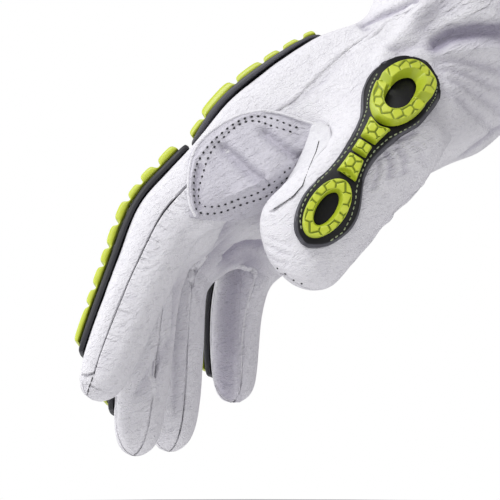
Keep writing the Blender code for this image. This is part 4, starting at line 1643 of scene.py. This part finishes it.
@dataclass
class CrotchBand:
    """The turned edge of leather between the patch and the thumb, and the dark seam along it, whose dark line
    also paints the shadow in the fold there.
    """

    left: tuple
    right: tuple
    seam: tuple
    along: int = 64
    across: int = 12
    bulge: float = 0.0015
    swell_share: float = 0.06
    full_width: float = 0.004
    lift: float = 0.0003
    wall: float = 0.0009
    wear: float = 0.15

    def build(self, pieces: Sequence[Piece]) -> None:
        """Lays the band from the patch to the thumb.

        Args:
            pieces: The leather that it lies on.
        """
        surfaces = [Surface(piece) for piece in pieces]
        bpy.ops.object.select_all(action="DESELECT")
        bpy.ops.mesh.primitive_grid_add(x_subdivisions=self.along, y_subdivisions=self.across, size=2)
        band = bpy.context.view_layer.objects.active
        grid = Workshop.points(band.data)
        run, share = (grid[:, 0] + 1) / 2, (grid[:, 1] + 1) / 2
        starts, ends = (laid(surfaces, side).at(run) for side in (self.left, self.right))
        middle = starts + (ends - starts) * share[:, None]
        rounded = np.sqrt(np.clip(1 - (2 * share - 1) ** 2, 0, 1)) * eased(run, 0.0, self.swell_share)
        narrow = eased(np.linalg.norm(ends - starts, axis=1), 0.0, self.full_width)
        middle[:, 1] -= self.bulge * rounded * narrow + self.lift
        Workshop.move(band.data, middle)
        thick = band.modifiers.new("Wall", "SOLIDIFY")
        thick.thickness = self.wall
        thick.offset = 1.0 if band.data.polygons[0].normal[1] > 0 else -1.0
        bpy.ops.object.modifier_apply(modifier=thick.name)
        Workshop.refined(Workshop.joined([band], "crotch_band"), 1)
        bpy.ops.object.shade_smooth()
        Workshop.store(band.data, "worn", np.full(len(band.data.vertices), self.wear))
        Workshop.finished(band, BAND_LEATHER, Slot.LEATHER)
        BAND_SHADOW_SEAM_STITCHES.build([laid([Surface(band)], self.seam)], Slot.LEATHER)


@dataclass
class NeedleHoles:
    """The few open needle holes along the thumb's lower seam."""

    places: tuple

    def build(self, piece: Piece) -> None:
        """Marks the holes with dark dots that paint the shade inside them.

        Args:
            piece: The leather that they are in.
        """
        holes = laid([Surface(piece)], self.places).points
        THUMB_NEEDLE_HOLES.copy_to([Matrix.Translation(Vector(hole)) for hole in holes], Slot.LEATHER)


@dataclass
class SeamEnds:
    """The thick ends of the finger seams, where three pieces of leather are sewn together."""

    ways: tuple
    radius: float = 0.0013
    crown: float = 0.0002
    beside: float = 4.0

    def build(self, pieces: Iterable[Piece]) -> None:
        """Lays a cord of leather along each end, midway between the leather on its two sides.

        Args:
            pieces: The leather that it lies between.
        """
        surfaces = [Surface(piece) for piece in pieces]
        cords = []
        for way in self.ways:
            left, right = (
                laid(surfaces, [(column + step, row) for column, row in way])
                for step in (-self.beside, self.beside)
            )
            points = (left.points + right.points) / 2
            points[:, 1] += self.radius - self.crown
            cords.append(Workshop.tube(Line(points, left.ups, radii=self.radius)))
        Workshop.finished(Workshop.joined(cords, "finger_seam_ends"), LEATHER, Slot.LEATHER)


@dataclass
class Honeycomb:
    """Moulded hexagons: a groove along the edges of a honeycomb, in a guard's plan. Sizes in millimetres."""

    pitch: float = 3.5
    half_width: float = 0.46

    def edge_distance(self, first: np.ndarray, second: np.ndarray) -> np.ndarray:
        """How far plan places are from the nearest edge of the honeycomb.

        Args:
            first: Places across the guard.
            second: Places along it.

        Returns:
            The distances in millimetres.
        """
        low_row = np.floor(second / (self.pitch * math.sqrt(3) / 2))
        nearest = np.full(len(first), np.inf)
        following = np.full(len(first), np.inf)
        for step in (-1, 0, 1, 2):
            row = low_row + step
            shift = row * 0.5
            column = np.floor(first / self.pitch - shift)
            for side in (-1, 0, 1, 2):
                x = (column + side + shift) * self.pitch
                y = row * self.pitch * math.sqrt(3) / 2
                square = (first - x) ** 2 + (second - y) ** 2
                following = np.where(square < nearest, nearest, np.minimum(following, square))
                nearest = np.minimum(nearest, square)
        return (following - nearest) / (2 * self.pitch)


@dataclass
class RingCells:
    """The hexagons round one lime ring, from their middles in the picture. Sizes in millimetres."""

    middles: tuple
    pitch: float = 3.5

    def edge_distance(self, guard: "ThumbGuard", surface: Surface, places: np.ndarray) -> np.ndarray:
        """How far plan places are from the nearest edge between two cells.

        Args:
            guard: Gives the plan.
            surface: The ring.
            places: Plan places, one in each row.

        Returns:
            The distances in millimetres.
        """
        hits = laid([surface], self.middles).points
        cells = np.stack(guard.plan(hits), axis=1)
        centre = cells.mean(axis=0)
        between = (cells + np.roll(cells, -1, axis=0)) / 2
        away = between - centre
        away /= np.linalg.norm(away, axis=1)[:, None]
        reach = self.pitch * math.sqrt(3) / 2
        sites = np.vstack([cells, between + away * reach, between - away * reach])
        squares = ((places[:, None, :] - sites[None, :, :]) ** 2).sum(axis=2)
        squares.sort(axis=1)
        return (squares[:, 1] - squares[:, 0]) / (2 * self.pitch)


@dataclass
class ThumbGuard:
    """The dumbbell guard on the thumb: dark base, two lime rings, three lime blocks and its stitches.

    The plan starts at the small ring's centre. Its numbers are in millimetres. `start` and `slope` are its
    place and direction in the picture, and `lean` is how far a height over the skin shifts it. `under`,
    `walls` and `tops` are cosines between a face and the surface below it. `base_rounding` holds the angle,
    the strength and the levels that the base is rounded with.
    """

    rows: tuple
    large_cells: RingCells
    small_cells: RingCells
    honeycomb: Honeycomb = field(default_factory=Honeycomb)
    base_rounding: tuple = (40.0, 0.45, 3)
    lime_angle: float = 35.0
    start: tuple = (-45.8, -56.2)
    slope: tuple = (0.548, 0.836)
    lean: tuple = (0.20, 0.25)
    shown_side: tuple = (-0.45, -0.9)
    facing: tuple = (-0.25, 0.3)
    border: tuple = (0.7, 1.3)
    close: float = 0.2
    under: float = -0.1
    walls: tuple = (0.5, 0.7)
    slant_depth: float = 0.8
    top_height: float = 6.6
    groove_depth: float = 0.55
    groove_floor: float = 0.08
    forward: float = 0.25
    tops: tuple = (0.72, 0.92)
    smooth_rounds: int = 6
    kept_tops: tuple = (0.5, 0.9)
    groove_shade: float = 0.85
    wall_shade: float = 0.8

    def plan(self, points: np.ndarray) -> tuple[np.ndarray, np.ndarray]:
        """Plan places of points that stand as high over the skin as the lime pieces' tops.

        Args:
            points: One point in each row.

        Returns:
            Places along and across the guard.
        """
        x = points[:, 0] / MM - self.start[0]
        z = points[:, 2] / MM - self.start[1]
        along = x * self.slope[0] + z * self.slope[1] - self.lean[0] * self.top_height
        across = x * self.slope[1] - z * self.slope[0] - self.lean[1] * self.top_height
        return along, across

    def build(self, nodes: dict, skin: Surface) -> None:
        """Builds the base, the lime pieces and the stitches.

        Args:
            nodes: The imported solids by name.
            skin: The leather under the guard.
        """
        base = Workshop.moulded(nodes["thumb_guard_base"], "thumb_guard_base", *self.base_rounding)
        self.slant(base, skin)
        surface = Surface(base)
        Workshop.finished(base, DARK_RUBBER, Slot.DARK, "thumb_guard_base")
        limes = [("large_ring", 0.62, 4, self.large_cells), ("small_ring", 0.35, 4, self.small_cells)]
        limes += [(f"block_{number}", 0.3, 5, None) for number in (1, 2, 3)]
        for part, crease, levels, cells in limes:
            name = f"thumb_guard_{part}"
            piece = Workshop.moulded(nodes[name], name, self.lime_angle, crease, levels)
            self.emboss(piece, cells, surface)
            Workshop.finished(piece, LIME_RUBBER, Slot.LIME, name)
        GUARD_STITCHES.build([laid([surface], row) for row in self.rows], Slot.DARK)

    def slant(self, base: Piece, skin: Surface) -> None:
        """Slants the base's border down to the leather on the sides that the picture shows as grey walls.

        Args:
            base: The refined base.
            skin: The leather under it.
        """
        points, normals = Workshop.points(base.data), Workshop.normals(base.data)
        skin_ups = np.array([skin.up_near(point) for point in points])
        level = (normals * skin_ups).sum(axis=1)
        above, side = level > self.under, level < self.walls[1]
        rim = np.flatnonzero(above & side)
        edge = KDTree(len(rim))
        for index in rim:
            edge.insert(Vector(points[index]), index)
        edge.balance()
        fall = np.zeros(len(points))
        shown = Vector(self.shown_side)
        for index in np.flatnonzero(above):
            place = Vector(points[index])
            nearest, _, away = edge.find(place)
            outward = Vector(normals[index]) if away < self.close * MM else nearest - place
            facing = Vector((outward.x, outward.z)).normalized().dot(shown)
            fall[index] = (1 - eased(away / MM, *self.border)) * eased(facing, *self.facing)
        fall[side] = np.maximum(fall[side], 1 - eased(level[side], *self.walls))
        drop = np.where(above, fall, 0) * self.slant_depth * MM
        Workshop.move(base.data, points - skin_ups * drop[:, None])
        # The slanted sides are marked for the rubber's wall colour: a painted reflection that makes them
        # grey.
        Workshop.store(base.data, "wall", fall)

    def emboss(self, piece: Piece, cells: RingCells | None, base: Surface) -> None:
        """Presses hexagons into the top of a lime piece: a ring's own cells, or one fork of a honeycomb.

        Args:
            piece: The refined lime piece.
            cells: The ring's cells, or None for a honeycomb.
            base: The guard's base.
        """
        mesh = piece.data
        points, normals = Workshop.points(mesh), Workshop.normals(mesh)
        along, across = self.plan(points)
        if cells:
            gap = cells.edge_distance(self, Surface(piece), np.stack([along, across], axis=1))
        else:
            along, across = (values - (values.min() + values.max()) / 2 for values in (along, across))
            fork = self.honeycomb.pitch / math.sqrt(3)
            gap = self.honeycomb.edge_distance(across, along + fork)
        base_ups = np.array([base.up_near(point) for point in points])
        base_ups[:, 1] -= self.forward
        base_ups /= np.linalg.norm(base_ups, axis=1)[:, None]
        top = eased((normals * base_ups).sum(axis=1), *self.tops)
        for _ in range(self.smooth_rounds):
            top = self.smoothed(mesh, top)
        top = eased(top, *self.kept_tops)
        groove = (1 - eased(gap, self.groove_floor, self.honeycomb.half_width)) * top
        Workshop.move(mesh, points - normals * (groove * self.groove_depth * MM)[:, None])
        # Painted shade: the grooves get the rubber's depth colour, and the lime sides its darker wall colour.
        Workshop.store(mesh, "groove", groove * self.groove_shade)
        Workshop.store(mesh, "wall", (1 - top) * self.wall_shade)

    @staticmethod
    def smoothed(mesh: Mesh, values: np.ndarray) -> np.ndarray:
        """Each point's value averaged with its neighbours'.

        Args:
            mesh: The mesh.
            values: One value for each point.

        Returns:
            The averaged values.
        """
        ends = np.empty(len(mesh.edges) * 2, int)
        mesh.edges.foreach_get("vertices", ends)
        ends = ends.reshape(-1, 2)
        total = values.copy()
        count = np.ones(len(values))
        for first, second in ((0, 1), (1, 0)):
            np.add.at(total, ends[:, first], values[ends[:, second]])
            np.add.at(count, ends[:, first], 1)
        return total / count


@dataclass
class HandGuards:
    """The guards on the back of the hand and on the fingers: dark bases with strips of lime blocks."""

    fingers: tuple = ("index", "middle", "ring", "little")
    angle: float = 35.0
    crease: float = 0.3

    def build(self, nodes: dict) -> None:
        """Refines each base and strip.

        Args:
            nodes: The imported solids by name.
        """
        self.refine(nodes, "back_guard_base", DARK_RUBBER, Slot.DARK, levels=3, wall=0.8)
        for finger in self.fingers:
            self.refine(nodes, f"finger_guard_base_{finger}", DARK_RUBBER, Slot.DARK, levels=2, wall=0.3)
            self.refine(nodes, f"finger_guard_strip_{finger}", LIME_RUBBER, Slot.LIME, levels=3, wall=0.0)
            self.refine(nodes, f"back_guard_strip_{finger}", LIME_RUBBER, Slot.LIME, levels=3, wall=0.0)

    def refine(self, nodes: dict, name: str, finish: Finish, slot: Slot, levels: int, wall: float) -> None:
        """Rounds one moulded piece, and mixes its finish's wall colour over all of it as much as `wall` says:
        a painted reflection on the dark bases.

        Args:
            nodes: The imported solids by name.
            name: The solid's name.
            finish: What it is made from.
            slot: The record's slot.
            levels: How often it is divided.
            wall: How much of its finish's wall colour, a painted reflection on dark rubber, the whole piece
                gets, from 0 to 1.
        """
        piece = Workshop.moulded(nodes[name], name, self.angle, self.crease, levels)
        # Painted reflection: the whole piece is mixed towards its finish's wall colour, pale on dark rubber.
        Workshop.store(piece.data, "wall", np.full(len(piece.data.vertices), wall))
        Workshop.finished(piece, finish, slot, name)


@dataclass
class Studio:
    """A pale floor under the glove, and soft lights round it."""

    floor_middle: tuple = (-0.07, 0, -0.30)
    floor_radius: float = 1.35
    sky_strength: float = 0.42
    sky_colour: tuple = (0.975, 0.955, 1.0)
    aim: tuple = (-0.05, 0, -0.05)
    lamps: tuple = (
        ("key", (-0.62, -0.42, 0.95), 0.55, 10.0),
        ("fill", (0.4, -1.1, -0.1), 0.9, 3.2),
        ("low", (-0.35, -0.75, -0.6), 0.7, 2.4),
        ("side", (-1.0, 0.15, 0.1), 0.6, 4.0),
    )

    def build(self) -> None:
        """Adds the floor, the sky and the lights."""
        bpy.ops.object.select_all(action="DESELECT")
        bpy.ops.mesh.primitive_circle_add(
            vertices=96, radius=self.floor_radius, fill_type="NGON", location=self.floor_middle
        )
        floor = bpy.context.view_layer.objects.active
        floor.name = "studio_floor"
        floor.data.materials.append(PaperFinish("studio_paper").material())
        self.sky()
        for lamp in self.lamps:
            self.light(*lamp)

    def sky(self) -> None:
        """A white surround that lights softly."""
        world = bpy.data.worlds.new("studio_sky")
        world.use_nodes = True
        bench = Bench(world.node_tree)
        background = world.node_tree.nodes["Background"]
        seen = bench.add("ShaderNodeLightPath", {}).outputs["Is Camera Ray"]
        bench.feed(background.inputs["Color"], bench.mixed(seen, (*self.sky_colour, 1), (1, 1, 1, 1)))
        bench.feed(background.inputs["Strength"], bench.spread(seen, 0.0, 1.0, (self.sky_strength, 1.0)))
        bpy.context.scene.world = world

    def light(self, name: str, place: tuple, size: float, power: float) -> None:
        """A square soft light aimed at the glove.

        Args:
            name: The lamp's name.
            place: Where it stands.
            size: Its width in metres.
            power: Its power in watts.
        """
        data = bpy.data.lights.new(name, "AREA")
        data.size = size
        data.energy = power
        lamp = bpy.data.objects.new(name, data)
        lamp.location = place
        lamp.rotation_euler = (Vector(self.aim) - Vector(place)).to_track_quat("-Z", "Y").to_euler()
        bpy.context.scene.collection.objects.link(lamp)


# The patch's two rows of stitches, in pixels.
PATCH_ROWS = (
    (
        (294, 170.6), (288.9, 176.2), (283.8, 180.8), (279, 185.6), (273.1, 190.5), (266.4, 197.1),
        (259.8, 199.2), (253.2, 201.2), (246, 203.1), (239.9, 205.3), (234.3, 207.3), (228.7, 210.4),
        (222.6, 212.1), (215.6, 213.7), (208.3, 214), (201.1, 213.7), (195.5, 212.4), (194.5, 202.2),
        (193.7, 192), (193.6, 181.8), (194.4, 171.6), (196.2, 165), (199.3, 159.4), (202.6, 153.3),
        (206.4, 148.2), (210.5, 143.1), (216.1, 137.6), (222, 132.9), (228.2, 127.6), (234.3, 123.2),
        (241.4, 119.6), (247, 116.9), (255.2, 115.7), (261.8, 116.3), (268, 117), (274.6, 119.6),
        (281.7, 121.6), (286.3, 124.2), (290.9, 125.7), (295.5, 127.8), (301.1, 127.8), (306.2, 128.8),
    ),
    (
        (296.5, 162.4), (290.9, 167.6), (285.3, 171.1), (279.7, 176.7), (275.6, 180.3), (269.5, 184.9),
        (263.9, 189.5), (257.8, 193.1), (251.6, 195.6), (245.5, 197.1), (239.4, 198.7), (233.8, 201.2),
        (228.2, 203.3), (222.6, 205.8), (215.6, 207), (208, 207), (200.6, 206.8), (198, 202.2),
        (198.4, 197.1), (198.6, 191), (199.3, 185.9), (201.1, 180.3), (202.4, 174.5), (204.7, 169.1),
        (206.2, 160.9), (209.3, 155.8), (212.3, 148.7), (215.9, 144.6), (221, 140), (226.1, 134.9),
        (231.7, 129.8), (236.8, 125.2), (242.4, 122.7), (248, 120.6), (253.2, 120.1), (258.8, 121.6),
        (265.4, 123.2), (272, 126.2), (277.7, 128.3), (283.3, 129.3), (287.9, 130.8), (294, 132.9),
        (300.1, 134.9),
    ),
)

# The palm lies behind this depth in millimetres, and the thumb before it.
PALM_FRONT = -48.0

# The patch's rolled edge, in pixels.
PATCH_LIP = (
    (195.5, 216.5), (190.5, 206), (188.7, 196), (188.3, 186), (188.5, 176), (189.7, 167), (191.5, 158.5),
    (195.5, 149), (203, 139), (213, 130), (224, 122), (236, 116.5), (250, 112.5), (265, 110.7), (280, 111),
    (292, 114.5), (304, 119.5), (316, 124.5),
)

# The dents and swells of the patch, which go on in the leather beside it.
DENTS = (
    Fold(((225, 147), (238, 158), (250, 170), (262, 178)), 2.6, 2.8, 0.3, 1.4),
    Fold(((236, 140), (254, 158), (272, 172)), -0.9, 2.6),
    Fold(((266, 131), (280, 142), (292, 151), (301, 156)), 2.6, 2.6, 0.36, 1.4),
    Fold(((276, 128), (290, 140), (304, 148)), -0.5, 2.0),
    Fold(((212, 158), (222, 172), (240, 188)), 0.6, 2.2, 0.08),
)

# The patch's dents, and the swells and the groove along its sewn edge.
PATCH_FOLDS = (
    *DENTS,
    Fold(((195, 163), (192.5, 175), (191, 187), (192.5, 202), (197, 215)), -0.9, 0.8),
    Fold(((200, 166), (196.8, 180), (196, 196), (198.5, 208)), 0.7, 1.0, 0.45),
    Fold(((196, 159), (216, 138), (241, 118.5), (267, 111.4), (279, 111.6), (300, 119), (315, 126)),
         -0.6, 0.8),
)

# The folds of cuff, thumb, palm and fingers, with painted shade in their creases and painted shadows below
# the palm's ledges and beside the fingers' edges.
FOLDS = (
    *DENTS,
    Fold(((361.5, 23.3), (375, 18), (397, 9.8), (416, 0)), 1.8, 1.2, 0.7),
    Fold(((361, 26), (364, 29.5), (369, 28)), 0.8, 0.7, 0.5),
    Fold(((436, 42), (450, 34), (475, 30), (500, 31)), 4.6, 3.8, 1.3, 2.4),
    Fold(((400, 52), (418, 44), (436, 40)), 1.0, 2.6, 0.3),
    Fold(((384, 58), (398, 42), (412, 27), (427, 6)), -2.0, 3.2),
    Fold(((400, 62), (424, 50), (452, 47), (500, 47)), -1.8, 3.4),
    Fold(((420, 30), (436, 12), (450, 0)), 1.6, 4.0, 0.35),
    Fold(((391, 52), (404, 50), (416, 46), (428, 45)), 1.0, 1.1, 0.5),
    Fold(((396, 58), (410, 55), (424, 53)), 0.4, 0.8, 0.2),
    Fold(((436, 61), (452, 60), (470, 63), (500, 72)), 1.2, 1.4, 0.4),
    Fold(((438, 68), (456, 70), (476, 78), (500, 91)), 1.2, 1.4, 0.35),
    Fold(((441, 76), (458, 82), (478, 95), (500, 112)), 1.0, 1.4, 0.3),
    Fold(((444, 90), (458, 98), (476, 114), (492, 130)), 0.8, 1.5, 0.25),
    Fold(((452, 166), (476, 146), (500, 128)), 0.8, 0.8, 0.6),
    Fold(((391, 141), (402, 138), (414, 132)), 1.0, 1.1, 0.5),
    Fold(((386, 152), (392, 162), (391, 176)), 1.0, 1.2, 0.45),
    Fold(((397, 146), (405, 158), (406, 172)), 0.8, 1.2, 0.3),
    Fold(((410, 140), (421, 150), (426, 164)), 0.5, 1.2, 0.15),
    Fold(((378, 160), (379, 172), (374, 186)), 0.8, 1.1, 0.35),
    Fold(((269, 212), (256, 210.5), (243.5, 212), (233, 219), (227, 226), (221, 240), (214, 252), (201, 261)),
         2.4, 0.7, 0.7, 4.4, PALM_FRONT),
    Fold(((262, 243), (247, 244), (237.5, 247.6), (231, 254), (225.9, 259.2)),
         2.4, 0.8, 1.1, 4.0, PALM_FRONT),
    Fold(((175.4, 290), (177, 283), (184, 279), (192, 281), (197, 287), (200, 299)), 0.6, 1.2, 0.12, 1.2),
    Fold(((250, 262), (236, 270), (230, 300), (226, 350), (224, 398)), 0.5, 5.0, 0.8, 6.0, PALM_FRONT),
    Fold(((160, 338), (158.5, 370), (158, 400)), 0.5, 0.9, 0.12),
    Fold(((176, 288), (174.5, 320), (174, 360), (173, 402)), 0.9, 0.8, 0.3, 3.4),
    Fold(((168, 341), (153, 364), (138, 388)), 0.9, 0.7, 0.35, 3.4),
    Fold(((263, 244), (257, 252), (246.3, 268.3), (240.5, 291), (239.4, 322), (237.5, 368), (238.6, 400)),
         -0.9, 0.9, 0.0, 0.9, PALM_FRONT),
    Fold(((270, 238), (280, 243), (291, 246)), 0.4, 0.8, 0.12),
    Fold(((268, 246), (278, 252), (290, 256)), 0.4, 0.8, 0.12),
    Fold(((267, 254), (276, 261), (287, 264)), 0.4, 0.8, 0.12),
    Fold(((268, 257), (285, 272), (305, 281)), -0.5, 2.4),
    Fold(((345, 50), (322, 71), (302.6, 90), (278, 110)), -0.5, 1.2),
    Fold(((349, 55), (326, 76), (306, 95), (292, 106)), 0.6, 1.4, 0.15),
)

# Where the leather is most wrinkled: column, row and reach in pixels, and how much.
WORN_SPOTS = (
    (462, 12, 80, 1.0),
    (470, 80, 60, 0.8),
    (395, 165, 48, 0.9),
    (285, 250, 36, 0.2),
    (340, 85, 40, 0.6),
    (165, 255, 50, 0.55),
    (235, 235, 40, 0.7),
    (150, 340, 60, 0.5),
    (150, 430, 50, 0.5),
)

# The black stitched seam down the index finger and its last stitches at the tip, in pixels.
INDEX_SEAM = (
    (188, 185), (170, 206), (154.8, 232), (136.4, 269), (125.5, 299.4), (115.8, 320), (101.7, 352.5),
    (86.5, 390.5),
)
INDEX_TIP = ((95.4, 371), (92.6, 378), (90, 385), (88.2, 391), (87.2, 395.5))

# The turned edge between patch and thumb: its two sides, and the dark seam along it, which also paints the
# fold's shadow, in pixels.
BAND_LEFT = (
    (316, 122), (310.5, 126), (307.5, 136), (303.5, 147), (295.3, 165), (286, 180.6), (275, 201), (268, 211),
)
BAND_RIGHT = (
    (317, 122), (325, 122.5), (330.5, 127), (331.5, 137), (327, 146), (320, 153), (312.6, 163),
    (303.4, 185.7), (294, 196.5), (273, 210),
)
BAND_SHADOW_SEAM = ((319, 141), (316, 152), (311.6, 162), (302.4, 185.7), (293.3, 196), (274, 208.8))

# The thick ends of the finger seams, and the thumb's needle holes, in pixels.
SEAM_ENDS = (
    ((205, 255), (200, 262), (196.5, 269), (194, 277), (193, 286)),
    ((246, 268.5), (251, 270), (253.5, 275), (252.5, 283), (250, 291), (248, 298), (246.5, 306)),
)
THUMB_HOLES = ((277.7, 268.3), (285.5, 273.8), (293.8, 280), (301.8, 283.6))

# The pale stitches on the thumb guard's base, in pixels.
GUARD_ROWS = (
    (
        (377.6, 73), (371, 86.2), (367.7, 99.5), (366.9, 109.5), (363.5, 119.4), (356.1, 137.6),
        (347.8, 149.3), (339.5, 160), (328.5, 172), (316.5, 183.5), (308, 194.5), (302.5, 206),
        (300, 218.9), (301.5, 230),
    ),
    (
        (329.6, 241.3), (342.8, 232.2), (351.1, 217.2), (355.6, 200.7), (356.9, 187.4), (361.1, 174.1),
        (366.9, 160.9), (376, 149.3), (389.3, 137.6), (402.5, 131), (417.4, 122.7), (427.4, 109.5),
        (434.9, 97.8), (437.3, 86.2),
    ),
)

# Middles of the hexagons round the two rings, in pixels and in their order round each ring.
LARGE_RING_CELLS = (
    (395.1, 70.6), (405.3, 66.5), (416, 64.5), (426.2, 69.6), (428.3, 79.8), (428.8, 90), (418.6, 103.8),
    (408.4, 110.4), (397.7, 113.5), (386.4, 107.3), (378.3, 101.2), (377.8, 91.5), (385.4, 85.9),
)
SMALL_RING_CELLS = (
    (313.7, 227.2), (325.1, 230.3), (334.3, 225.7), (338.1, 217.3), (344.3, 210), (345.8, 198.9),
    (341.2, 186.7), (330.5, 185.1), (320.6, 190.5), (317.5, 197.4), (311, 205), (310.6, 215.4),
)


def main() -> None:
    """Builds the glove's pieces in order and dresses them."""
    logging.basicConfig(level=logging.INFO, format="%(message)s")
    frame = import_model()
    nodes = frame["nodes"]
    VIEW.build()
    Studio().build()
    bpy.context.scene.view_settings.view_transform = "Standard"
    shell = LeatherShell(FOLDS)
    shell.build(nodes)
    palm = shell.pieces["leather_palm"]
    Seams().build(shell)
    patch = CrotchPatch(PATCH_ROWS, PATCH_FOLDS, PATCH_LIP).build(nodes)
    CrotchBand(BAND_LEFT, BAND_RIGHT, BAND_SHADOW_SEAM).build([patch, palm])
    SeamEnds(SEAM_ENDS).build(shell.pieces.values())
    NeedleHoles(THUMB_HOLES).build(palm)
    guard = ThumbGuard(GUARD_ROWS, RingCells(LARGE_RING_CELLS), RingCells(SMALL_RING_CELLS))
    guard.build(nodes, Surface(palm))
    HandGuards().build(nodes)


if __name__ == "__main__":
    main()
